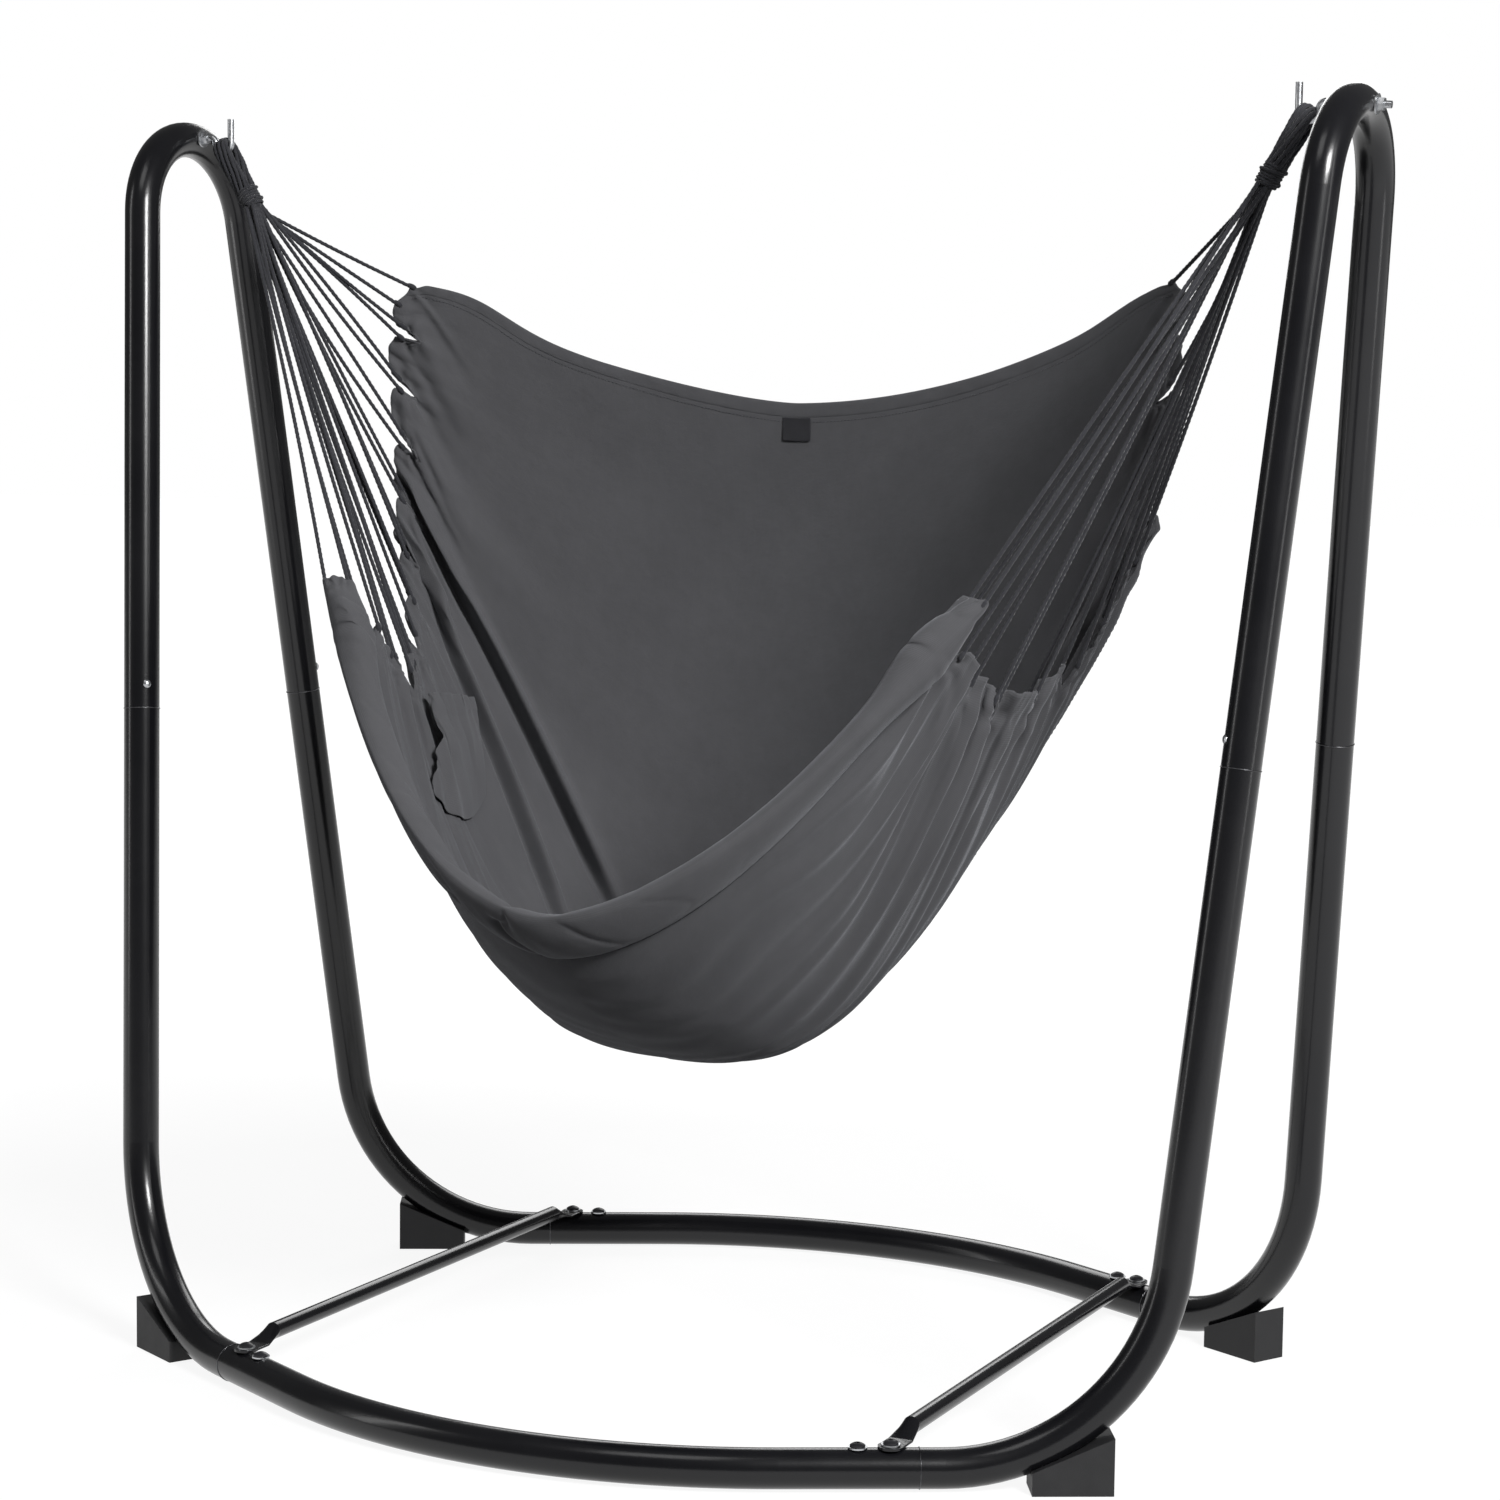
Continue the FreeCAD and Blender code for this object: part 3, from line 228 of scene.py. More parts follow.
def edge_distance(across):
    """Distance from the nearer gathered edge, along the cloth."""
    return (1 - np.abs(across)) * CLOTH_HALF_WIDTH


def off_hems(share):
    return ramp(share, 0.0, 0.05) * (1 - ramp(share, 0.93, 0.965))


# A kind of pleat: its cycles in a flap, how far it wanders, its height, and how far it reaches in.
Pleats = namedtuple("Pleats", "cycles wander height reach")
MEDIUM_PLEATS = Pleats(1.5, 1.1, 0.0065, 0.07)
COARSE_PLEATS = Pleats(1.31, 1.2, 0.0055, 0.20)
LONG_PLEATS = Pleats(2.7, 0.9, 0.0042, 0.26)
FINE_PLEATS = Pleats(4.9, 1.4, 0.0024, 0.13)
GATHERS = Pleats(3.1, 0.9, 0.0040, 0.030)
SLACK_WAVE = 0.004
# Fuller places of the seat: (across, width, share, length, depth).
BELLIES = ((0.52, 0.28, 0.76, 0.16, 0.027), (-0.46, 0.26, 0.80, 0.16, 0.018))
SCALLOP_DEPTH, SCALLOP_REACH = 0.015, 0.028
SLIT_DEPTH = 0.022
CURL_HEIGHT, CURL_REACH = 0.008, 0.02
PUCKER_HEIGHT, PUCKER_REACH, PUCKER_RAYS = 0.0030, 0.026, 7
FLAP_WIDTH = 0.062           # from cord to cord along the casing, for the puckers' bearing
CASING_DEPTH = 0.012         # from the edge to where the puckers start
# Folds where the back turns into a side wall: (start, end, width, depth), as (share, across).
CREASES = (
    ((0.29, 1), (0.53, 0.42), 0.0125, -0.018),
    ((0.38, 1), (0.60, 0.54), 0.0115, -0.014),
)


def wave(kind, place, drift):
    return np.sin(2 * np.pi * (place * kind.cycles + kind.wander * drift))


def fading(kind, from_edge):
    return np.exp(-from_edge / kind.reach)


def designed_cloth():
    """The hung cloth with its gathered sides, before it settles."""
    across, share = np.meshgrid(COARSE_ACROSS, COARSE_SHARES)
    points = cloth_point(across, share)
    normals = grid_normals(points)
    outward = unit(np.gradient(points, axis=1)) * np.sign(across)[..., None]
    right = across > 0
    from_edge = edge_distance(across)
    place = share * FLAPS
    left_noise = noise_grid(place * 0.55, from_edge * 4, 3.0)
    slow = np.where(right, noise_grid(place * 0.55, from_edge * 4, 9.3), left_noise)

    # broad pleats that start at the gathered edge and fade into the cloth
    lower = np.where(right, ramp(share, 0.44, 0.66), 0.7 * ramp(share, 0.55, 0.75))
    medium = wave(MEDIUM_PLEATS, place, slow) * fading(MEDIUM_PLEATS, from_edge)
    coarse = wave(COARSE_PLEATS, place, slow)
    reach = fading(COARSE_PLEATS, from_edge) * ramp(from_edge, 0.0, 0.05)
    lift = MEDIUM_PLEATS.height * medium * (0.15 + 0.85 * lower)
    lift = lift + COARSE_PLEATS.height * coarse * reach * lower

    # slight waves in the slack middle, and the fuller places of the seat
    lift = lift * off_hems(share) + SLACK_WAVE * noise_grid(across * 2.2, share * 2.6, 7.7)
    for at, width, down, length, depth in BELLIES:
        belly = np.exp(-(((across - at) / width) ** 2) - (((share - down) / length) ** 2))
        lift = lift - depth * belly
    points = points + normals * lift[..., None]

    # scalloped edge: the casing bulges between the cords and is cut back at them
    phase = np.abs(place - np.round(place))
    flap = np.floor(np.clip(place, 0, FLAPS - 0.001)).astype(int)
    draw = random.Random(11)
    size = np.array([[draw.uniform(0.75, 1.3), draw.uniform(0.8, 1.25)] for _ in range(FLAPS + 2)])
    bulge = SCALLOP_DEPTH * size[flap, right.astype(int)] * np.abs(np.sin(np.pi * place)) ** 0.6
    cut = size[np.round(place).astype(int), 1 - right.astype(int)]
    slit = SLIT_DEPTH * cut * np.clip(1 - phase / (NOTCH * 1.4), 0, 1)
    slit = slit * ramp(share, 0.02, 0.06) * (1 - ramp(share, 0.92, 0.95))
    scallop = bulge * ramp(share, 0.0, 0.03) * (1 - ramp(share, 0.94, 0.965)) - slit
    points = points + outward * (scallop * np.exp(-from_edge / SCALLOP_REACH))[..., None]
    lean = np.where(right, -1, 1) * size[flap, 0]
    curl = CURL_HEIGHT * np.sin(np.pi * place) * lean * np.exp(-from_edge / CURL_REACH) * off_hems(share)
    return points + normals * curl[..., None]


def detailed(points):
    """Fine pleats, puckers and creases on the settled cloth."""
    across, share = np.meshgrid(ACROSS, SHARES)
    normals = grid_normals(points)
    from_edge = edge_distance(across)
    place = share * FLAPS
    right = across > 0
    left_noise = noise_grid(place * 0.9, from_edge * 5, 2.2)
    drift = np.where(right, noise_grid(place * 0.9, from_edge * 5, 4.1), left_noise)

    # long fine pleats of the lower sides, and short ones all along the gathers
    lower = np.where(right, ramp(share, 0.50, 0.68), 0.45 * ramp(share, 0.60, 0.80))
    start = ramp(from_edge, 0.0, 0.03)
    long_pleats = wave(LONG_PLEATS, place, drift) * fading(LONG_PLEATS, from_edge)
    fine_pleats = wave(FINE_PLEATS, place, drift) * fading(FINE_PLEATS, from_edge)
    gathers = wave(GATHERS, place, drift) * fading(GATHERS, from_edge)
    lift = (LONG_PLEATS.height * long_pleats + FINE_PLEATS.height * fine_pleats) * start * lower
    lift = lift + GATHERS.height * gathers * (0.35 + 0.65 * lower)

    # small puckers that radiate from each notch
    to_notch = (place - np.round(place)) * FLAP_WIDTH
    distance = np.hypot(to_notch, from_edge - CASING_DEPTH)
    bearing = np.arctan2(to_notch, from_edge - CASING_DEPTH)
    which = np.round(place) * 1.7 + 3.0 * right
    pucker = np.sin(PUCKER_RAYS * bearing + which) * np.exp(-distance / PUCKER_REACH)
    pucker = pucker * ramp(distance, 0, 0.008)
    lift = (lift + PUCKER_HEIGHT * pucker) * off_hems(share)

    # creases where the back turns into the side walls
    for side in (-1, 1):
        for start, end, width, depth in CREASES:
            ends = (start[0], side * start[1]), (end[0], side * end[1])
            lift = lift + crease(share, across, *ends, width, depth)
    return points + normals * lift[..., None]


LAST_FRAME = 14
CALMING_ROUNDS = 24          # smoothing of the cloth's moves away from its gathered edges
MOST_MOVE = 0.010


def settle(points):
    """Let the cloth relax under its own weight between its cords, and return its points."""
    rows, columns = points.shape[:2]
    piece = grid_mesh("settling_cloth", points)
    hold = piece.vertex_groups.new(name="hold")
    place = COARSE_SHARES * FLAPS
    held_rows = np.abs(np.abs(place - np.round(place)) - NOTCH) < 0.04
    for row in range(rows):
        for column in range(columns):
            at_edge = column in (0, columns - 1)
            in_hem = row < 3 or row > rows - 9
            weight = 1.0 if at_edge and (held_rows[row] or in_hem) else 0.25 if in_hem else 0.06
            hold.add([row * columns + column], weight, "REPLACE")
    cloth = piece.modifiers.new("Cloth", "CLOTH")
    cloth.settings.quality = 4
    cloth.settings.mass = 0.25
    cloth.settings.tension_stiffness = 20
    cloth.settings.compression_stiffness = 12
    cloth.settings.shear_stiffness = 6
    cloth.settings.bending_stiffness = 0.6
    cloth.settings.air_damping = 3
    cloth.settings.vertex_group_mass = "hold"
    cloth.settings.pin_stiffness = 1.0
    cloth.settings.shrink_min = -0.015
    cloth.settings.effector_weights.gravity = 0.35
    cloth.collision_settings.use_collision = False
    scene.frame_start = 1
    scene.frame_end = LAST_FRAME
    cloth.point_cache.frame_start = 1
    cloth.point_cache.frame_end = LAST_FRAME
    for number in range(1, LAST_FRAME + 1):
        scene.frame_set(number)
    settled = piece.evaluated_get(bpy.context.evaluated_depsgraph_get()).to_mesh()
    found = np.empty(len(settled.vertices) * 3)
    settled.vertices.foreach_get("co", found)
    found = found.reshape(points.shape)
    bpy.data.objects.remove(piece)
    scene.frame_set(1)
    move = found - points
    calm = move
    for _ in range(CALMING_ROUNDS):
        calm = (
            calm + np.roll(calm, 1, 0) + np.roll(calm, -1, 0)
            + np.roll(calm, 1, 1) + np.roll(calm, -1, 1)
        ) / 5
    inner = ramp(edge_distance(np.meshgrid(COARSE_ACROSS, COARSE_SHARES)[0]), 0.03, 0.12)[..., None]
    move = move * (1 - inner) + calm * inner
    far = np.linalg.norm(move, axis=-1, keepdims=True)
    return points + move * np.minimum(1, MOST_MOVE / np.maximum(far, 1e-9))


# ---------------------------------------------------------------- mesh helpers


def add_mesh(name, vertices, faces):
    mesh = bpy.data.meshes.new(name)
    mesh.from_pydata([tuple(v) for v in vertices], [], faces)
    mesh.validate()
    mesh.shade_smooth()
    piece = bpy.data.objects.new(name, mesh)
    scene.collection.objects.link(piece)
    return piece


def grid_quads(rows, columns, first=0, closed=False):
    """Faces of a grid of points. closed joins its last column to its first."""
    faces = []
    for row in range(rows - 1):
        for column in range(columns if closed else columns - 1):
            following = (column + 1) % columns
            low = first + row * columns
            faces.append((low + column, low + following, low + columns + following, low + columns + column))
    return faces


def set_flat(piece, places):
    """Keep each point's place on the cut cloth, which the weave follows."""
    attribute = piece.data.attributes.new("flat", "FLOAT_VECTOR", "POINT")
    attribute.data.foreach_set("vector", np.asarray(places, np.float32).ravel())


def grid_mesh(name, points):
    rows, columns = points.shape[:2]
    return add_mesh(name, points.reshape(-1, 3), grid_quads(rows, columns))


def modify(piece, kind, **settings):
    modifier = piece.modifiers.new(kind.title(), kind)
    for key, value in settings.items():
        setattr(modifier, key, value)


def finish_piece(piece, node_names, material, body="chair"):
    piece.data.materials.append(material)
    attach(piece, body)
    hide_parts(*node_names)


def frames_along(path):
    """Tangents and two side vectors at each point of a path, with no twist."""
    path = np.asarray(path, float)
    tangent = unit(np.gradient(path, axis=0))
    first = np.cross(tangent[0], (0, 0, 1.0))
    if np.linalg.norm(first) < 1e-3:
        first = np.cross(tangent[0], (0, 1.0, 0))
    first = first / np.linalg.norm(first)
    sides = [first]
    for i in range(1, len(path)):
        turned = sides[-1] - tangent[i] * np.dot(sides[-1], tangent[i])
        sides.append(turned / np.linalg.norm(turned))
    first = np.array(sides)
    return tangent, first, np.cross(tangent, first)


def tube(path, radius, around=10, lobes=0, lobe_depth=0.0, lay=0.014, start_turn=0.0):
    """Vertices, faces and flat places of a closed tube. lobes and lay make it a laid cord."""
    path = np.asarray(path, float)
    tangent, first, second = frames_along(path)
    travel = np.concatenate([[0], np.cumsum(np.linalg.norm(np.diff(path, axis=0), axis=1))])
    angle = np.linspace(0, 2 * np.pi, around, endpoint=False)
    radius = np.broadcast_to(np.asarray(radius, float), (len(path),))
    wave = 1 + lobe_depth * np.cos(lobes * (angle[None, :] - 2 * np.pi * travel[:, None] / lay - start_turn))
    ring = radius[:, None] * wave
    vertices = (
        path[:, None]
        + first[:, None] * (ring * np.cos(angle))[..., None]
        + second[:, None] * (ring * np.sin(angle))[..., None]
    ).reshape(-1, 3)
    flat = np.stack([
        np.broadcast_to(angle * np.mean(radius), (len(path), around)),
        np.broadcast_to(travel[:, None], (len(path), around)),
        np.zeros((len(path), around)),
    ], axis=-1).reshape(-1, 3)
    faces = grid_quads(len(path), around, closed=True)
    faces.append(tuple(range(around))[::-1])
    last = (len(path) - 1) * around
    faces.append(tuple(range(last, last + around)))
    return vertices, faces, flat


def joined(name, parts):
    """One object made of several (vertices, faces, flat places)."""
    vertices = []
    faces = []
    flats = []
    for some, quads, flat in parts:
        first = len(vertices)
        vertices.extend(some)
        flats.extend(flat)
        faces.extend(tuple(i + first for i in quad) for quad in quads)
    piece = add_mesh(name, vertices, faces)
    set_flat(piece, flats)
    return piece


# ---------------------------------------------------------------- materials


class Shader:
    """A node material with a Principled shader, and short calls that add to it."""

    def __init__(self, name):
        self.material = bpy.data.materials.new(name)
        self.material.use_nodes = True
        self.tree = self.material.node_tree
        self.surface = self.tree.nodes["Principled BSDF"]

    def node(self, kind, **values):
        made = self.tree.nodes.new("ShaderNode" + kind)
        for key, value in values.items():
            if key in made.inputs:
                made.inputs[key].default_value = value
            else:
                setattr(made, key, value)
        return made

    def link(self, source, target):
        self.tree.links.new(source, target)

    def set(self, **values):
        for key, value in values.items():
            self.surface.inputs[key.replace("_", " ")].default_value = value

    def place(self, name=None):
        """Places on the cut cloth where an attribute is named, and else the row frame."""
        if name:
            return self.node("Attribute", attribute_name=name).outputs["Vector"]
        return self.node("TexCoord").outputs["Object"]

    def noise(self, place, scale, detail=3.0, roughness=0.5):
        made = self.node("TexNoise", Scale=scale, Detail=detail, Roughness=roughness)
        self.link(place, made.inputs["Vector"])
        return made.outputs["Fac"]

    def bands(self, place, direction, period, distortion=0.0):
        made = self.node("TexWave", bands_direction=direction, wave_profile="SIN", Distortion=distortion)
        made.inputs["Scale"].default_value = math.pi / (10 * period)
        self.link(place, made.inputs["Vector"])
        return made.outputs["Fac"]

    def math(self, operation, first, second):
        made = self.node("Math", operation=operation)
        for socket, value in zip(made.inputs, (first, second)):
            if isinstance(value, (int, float)):
                socket.default_value = value
            else:
                self.link(value, socket)
        return made.outputs[0]

    def ramp(self, value, stops):
        made = self.node("ValToRGB")
        elements = made.color_ramp.elements
        while len(elements) < len(stops):
            elements.new(0.5)
        for element, (position, colour) in zip(elements, stops):
            element.position = position
            element.color = (*colour, 1) if len(colour) == 3 else (colour[0],) * 3 + (1,)
        self.link(value, made.inputs["Fac"])
        return made.outputs["Color"]

    def roughness(self, value, low, high):
        """Roughness from low to high, as the value goes from 0 to 1."""
        made = self.node("MapRange")
        made.inputs["To Min"].default_value = low
        made.inputs["To Max"].default_value = high
        self.link(value, made.inputs["Value"])
        self.link(made.outputs["Result"], self.surface.inputs["Roughness"])

    def bump(self, height, strength, distance, under=None):
        made = self.node("Bump", Strength=strength, Distance=distance)
        self.link(height, made.inputs["Height"])
        if under is not None:
            self.link(under, made.inputs["Normal"])
        return made.outputs["Normal"]


def woven(name, dark, light, thread, sheen=0.25, weave_depth=0.00030, grow=1.0):
    """Plain-woven cloth: crossing threads, uneven dye, soft slubs and a little sheen."""
    shader = Shader(name)
    flat = shader.place("flat")
    warp = shader.bands(flat, "X", thread)
    weft = shader.bands(flat, "Y", thread)
    weave = shader.math("ADD", shader.math("MULTIPLY", warp, weft), shader.math("MULTIPLY", warp, 0.35))
    slub = shader.noise(flat, 260.0 / grow, 2.0)
    mottle = shader.noise(flat, 9.0, 4.0, 0.6)
    soft = shader.noise(flat, 55.0 / grow, 4.0, 0.6)
    tone = shader.math("ADD", shader.math("MULTIPLY", mottle, 0.55), shader.math("MULTIPLY", soft, 0.30))
    tone = shader.math("ADD", tone, shader.math("MULTIPLY", weave, 0.15))
    shader.link(shader.ramp(tone, [(0.25, dark), (0.75, light)]), shader.surface.inputs["Base Color"])
    shader.roughness(soft, 0.82, 0.96)
    wrinkle = shader.bump(soft, 0.35, 0.0012)
    fine = shader.bump(slub, 0.25, 0.0004, wrinkle)
    shader.link(shader.bump(weave, 0.5, weave_depth, fine), shader.surface.inputs["Normal"])
    shader.set(Sheen_Weight=sheen, Sheen_Roughness=0.5, Specular_IOR_Level=0.25)
    shader.surface.inputs["Sheen Tint"].default_value = (0.75, 0.77, 0.82, 1)
    return shader.material


def laid_cord(name, dark, light):
    """Cotton cord: fine fibres along the lay and uneven dye."""
    shader = Shader(name)
    flat = shader.place("flat")
    fibre = shader.noise(flat, 900.0, 2.0)
    patch = shader.noise(flat, 40.0, 3.0)
    tone = shader.math("ADD", shader.math("MULTIPLY", fibre, 0.4), shader.math("MULTIPLY", patch, 0.6))
    shader.link(shader.ramp(tone, [(0.3, dark), (0.7, light)]), shader.surface.inputs["Base Color"])
    shader.roughness(patch, 0.78, 0.95)
    shader.link(shader.bump(fibre, 0.5, 0.0003), shader.surface.inputs["Normal"])
    shader.set(Sheen_Weight=0.2, Sheen_Roughness=0.5, Specular_IOR_Level=0.2)
    return shader.material


def powder_coat(name, dark, light, roughness=(0.20, 0.29), coat=0.15):
    """Black powder coat: faint orange peel, dust and rubbed patches."""
    shader = Shader(name)
    here = shader.place()
    peel = shader.noise(here, 420.0, 2.0)
    dust = shader.noise(here, 7.0, 6.0, 0.65)
    shader.link(shader.ramp(dust, [(0.35, dark), (0.75, light)]), shader.surface.inputs["Base Color"])
    shader.roughness(dust, roughness[0], roughness[1])
    shader.link(shader.bump(peel, 0.12, 0.0004), shader.surface.inputs["Normal"])
    shader.set(Coat_Weight=coat, Coat_Roughness=0.12, Specular_IOR_Level=0.35)
    return shader.material


def plated(name, dark, light):
    """Bright zinc-plated steel: fine turning marks and dull spots."""
    shader = Shader(name)
    here = shader.place()
    marks = shader.noise(here, 1400.0, 2.0)
    spots = shader.noise(here, 160.0, 4.0, 0.7)
    shader.link(shader.ramp(spots, [(0.35, dark), (0.7, light)]), shader.surface.inputs["Base Color"])
    shader.roughness(spots, 0.22, 0.42)
    shader.link(shader.bump(marks, 0.2, 0.0002), shader.surface.inputs["Normal"])
    shader.set(Metallic=1.0)
    return shader.material


def moulded(name, dark, light):
    """Matt moulded plastic with a fine spark-eroded grain and scuffs."""
    shader = Shader(name)
    here = shader.place()
    grain = shader.noise(here, 1100.0, 2.0)
    scuff = shader.noise(here, 45.0, 5.0, 0.7)
    shader.link(shader.ramp(scuff, [(0.4, dark), (0.75, light)]), shader.surface.inputs["Base Color"])
    shader.roughness(scuff, 0.5, 0.72)
    shader.link(shader.bump(grain, 0.35, 0.0003), shader.surface.inputs["Normal"])
    return shader.material


MATERIALS = {
    "frame_paint": powder_coat("frame_paint", (0.0042, 0.0043, 0.0055), (0.0078, 0.0078, 0.0092)),
    "black_steel": powder_coat("black_steel", (0.010, 0.010, 0.012), (0.02, 0.02, 0.023), (0.3, 0.45), 0.1),
    "zinc_steel": plated("zinc_steel", (0.40, 0.41, 0.43), (0.58, 0.59, 0.60)),
    "foot_plastic": moulded("foot_plastic", (0.007, 0.007, 0.008), (0.014, 0.014, 0.015)),
    "cloth": woven("cloth", (0.060, 0.060, 0.0645), (0.086, 0.086, 0.092), 0.00125),
    # hem_cloth is the seat cloth made a little lighter: painted light for the lit front roll and pocket
    "hem_cloth": woven("hem_cloth", (0.062, 0.062, 0.0665), (0.090, 0.090, 0.096), 0.00125),
    "tag": woven("tag", (0.018, 0.018, 0.021), (0.028, 0.028, 0.032), 0.0007, 0.1),
    "cord": laid_cord("cord", (0.020, 0.020, 0.024), (0.040, 0.041, 0.047)),
    "thread": laid_cord("thread", (0.028, 0.028, 0.033), (0.060, 0.061, 0.068)),
    "worn_edge": plated("worn_edge", (0.05, 0.05, 0.055), (0.14, 0.14, 0.145)),
}

for entry in RECORD["subparts"]:
    cad_object = NODES[entry["node"]]
    finish = MATERIALS[entry["material_slot"]]
    cad_object.data.materials.clear()
    cad_object.data.materials.append(finish)


# ---------------------------------------------------------------- cloth pieces

CLOTH = designed_cloth()
CLOTH = settle(CLOTH)
SMOOTH_CLOTH = refined(CLOTH)
CLOTH = detailed(SMOOTH_CLOTH)
CLOTH_NORMALS = grid_normals(CLOTH)


def on_cloth(across, share, values=None):
    """Points (or other values) of the settled cloth at arrays of places on it."""
    values = CLOTH if values is None else values
    row = np.clip(np.asarray(share, float) * (ROWS - 1), 0, ROWS - 1.001)
    column = np.interp(across, ACROSS, np.arange(len(ACROSS)))
    column = np.clip(column, 0, len(ACROSS) - 1.001)
    i, j = row.astype(int), column.astype(int)
    a, b = (row - i)[..., None], (column - j)[..., None]
    low = values[i, j] * (1 - b) + values[i, j + 1] * b
    high = values[i + 1, j] * (1 - b) + values[i + 1, j + 1] * b
    return low * (1 - a) + high * a


def flat_place(across, share):
    return np.stack([across * CLOTH_HALF_WIDTH, share * CLOTH_LENGTH, np.zeros_like(across)], axis=-1)


def soft_pad(name, across, share, lower, upper, under=None, taut=None):
    """Closed pad over a grid of places, with its two faces at these offsets from the cloth.

    under is another grid of the cloth to follow, such as the one without its fine pleats.
    taut says how far each point goes to the straight line between the ends of its row,
    though never to the far side of the cloth.
    """
    rows, columns = across.shape
    under = CLOTH if under is None else under
    points = on_cloth(across, share, under)
    normals = unit(on_cloth(across, share, grid_normals(under)))
    if taut is not None:
        along = np.linspace(0, 1, columns)[None, :, None]
        pulled = (points[:, :1] * (1 - along) + points[:, -1:] * along - points) * taut[..., None]
        below = np.minimum(0, (pulled * normals).sum(axis=-1, keepdims=True))
        points = points + pulled - normals * below
    top = points + normals * upper[..., None]
    bottom = points + normals * lower[..., None]
    count = rows * columns
    vertices = np.concatenate([top.reshape(-1, 3), bottom.reshape(-1, 3)])
    faces = grid_quads(rows, columns)
    faces += [tuple(i + count for i in quad[::-1]) for quad in grid_quads(rows, columns)]
    rim = [c for c in range(columns)]
    rim += [r * columns + columns - 1 for r in range(1, rows)]
    rim += [(rows - 1) * columns + c for c in range(columns - 2, -1, -1)]
    rim += [r * columns for r in range(rows - 2, 0, -1)]
    for here, after in zip(rim, rim[1:] + rim[:1]):
        faces.append((after, here, here + count, after + count))
    piece = add_mesh(name, vertices, faces)
    flat = flat_place(across, share).reshape(-1, 3)
    set_flat(piece, np.concatenate([flat, flat]))
    return piece


def make_seat():
    first = int(BACK_HEM_SHARE * (ROWS - 1) * 0.5)
    last = int(round((FRONT_HEM_SHARE + 0.004) * (ROWS - 1))) + 1
    piece = grid_mesh("seat_cloth", CLOTH[first:last])
    across, share = np.meshgrid(ACROSS, SHARES[first:last])
    set_flat(piece, flat_place(across, share).reshape(-1, 3))
    modify(piece, "SOLIDIFY", thickness=CLOTH_THICKNESS, offset=0.0)
    finish_piece(piece, ["seat_fabric"], MATERIALS["cloth"])
    return piece


ROLL_TOP, ROLL_BOTTOM = 0.0160, 0.0130   # the front roll's two half thicknesses
BULB_HEIGHT = 0.010                      # how much thicker the roll is near its ends
BUNCH_DEPTH = 0.011                      # folds across the roll, deepest near its middle


def make_front_hem():
    """Padded roll along the front edge: full, bunched near its middle, gathered at its ends."""
    columns = 420
    rows = 21
    across, ride = np.meshgrid(np.linspace(-1, 1, columns), np.linspace(0, 1, rows))
    share = FRONT_HEM_SHARE - 0.004 + (1.004 - FRONT_HEM_SHARE) * ride
    crown = np.sin(np.pi * ride) ** 0.55
    length = across * CLOTH_HALF_WIDTH
    middle = np.exp(-(((across + 0.16) / 0.34) ** 2))
    end = ramp(np.abs(across), 0.93, 1.0)
    fold = np.abs(noise_grid(length * 13 + ride * 1.4, ride * 1.1, 5.5))
    bunch = BUNCH_DEPTH * np.exp(-fold / 0.10) * (0.03 + middle)
    soft = noise_grid(length * 7, ride * 1.0, 1.5) * 0.0016
    small = noise_grid(length * 48 + ride * 3, ride * 2.2, 8.5) * 0.0007 * (0.15 + middle)
    gathers = 0.0022 * np.cos(2 * np.pi * (ride * 4.5 + 0.3 * np.sin(length * 60)))
    gathers = gathers * ramp(np.abs(across), 0.955, 1.0)
    bulb = BULB_HEIGHT * np.exp(-(((np.abs(across) - 0.90) / 0.07) ** 2))
    upper = 0.0009 + crown * (ROLL_TOP - 0.0060 * end + bulb - bunch + soft + small + gathers)
    lower = -0.0009 - crown * (ROLL_BOTTOM - 0.0050 * end + bulb - 0.7 * bunch - soft + small)
    piece = soft_pad("front_hem_pad", across, share, lower, upper, SMOOTH_CLOTH)
    modify(piece, "SUBSURF", levels=1, render_levels=1)
    # the front roll takes the lighter copy of the cloth, which is painted light
    finish_piece(piece, ["front_hem"], MATERIALS["hem_cloth"])
    return piece


def make_back_hem():
    """Rolled hem along the back's upper edge."""
    columns = 300
    rows = 9
    across, ride = np.meshgrid(np.linspace(-1, 1, columns), np.linspace(0, 1, rows))
    share = BACK_HEM_SHARE * 1.05 * ride
    crown = np.sin(np.pi * ride) ** 0.5
    length = across * CLOTH_HALF_WIDTH
    ripple = noise_grid(length * 60, ride * 1.2, 6.5) * 0.0006
    upper = 0.0008 + crown * (0.0007 + ripple)
    lower = -0.0008 - crown * (0.0007 - ripple)
    piece = soft_pad("back_hem_roll", across, share, lower, upper)
    modify(piece, "SUBSURF", levels=1, render_levels=1)
    finish_piece(piece, ["back_hem"], MATERIALS["cloth"])
    return piece


# Corners of the inside pocket on the cloth, as (share, across):
# top front, top back, low back, low front.
POCKET = ((0.690, -0.960), (0.495, -0.825), (0.590, -0.765), (0.810, -0.825))


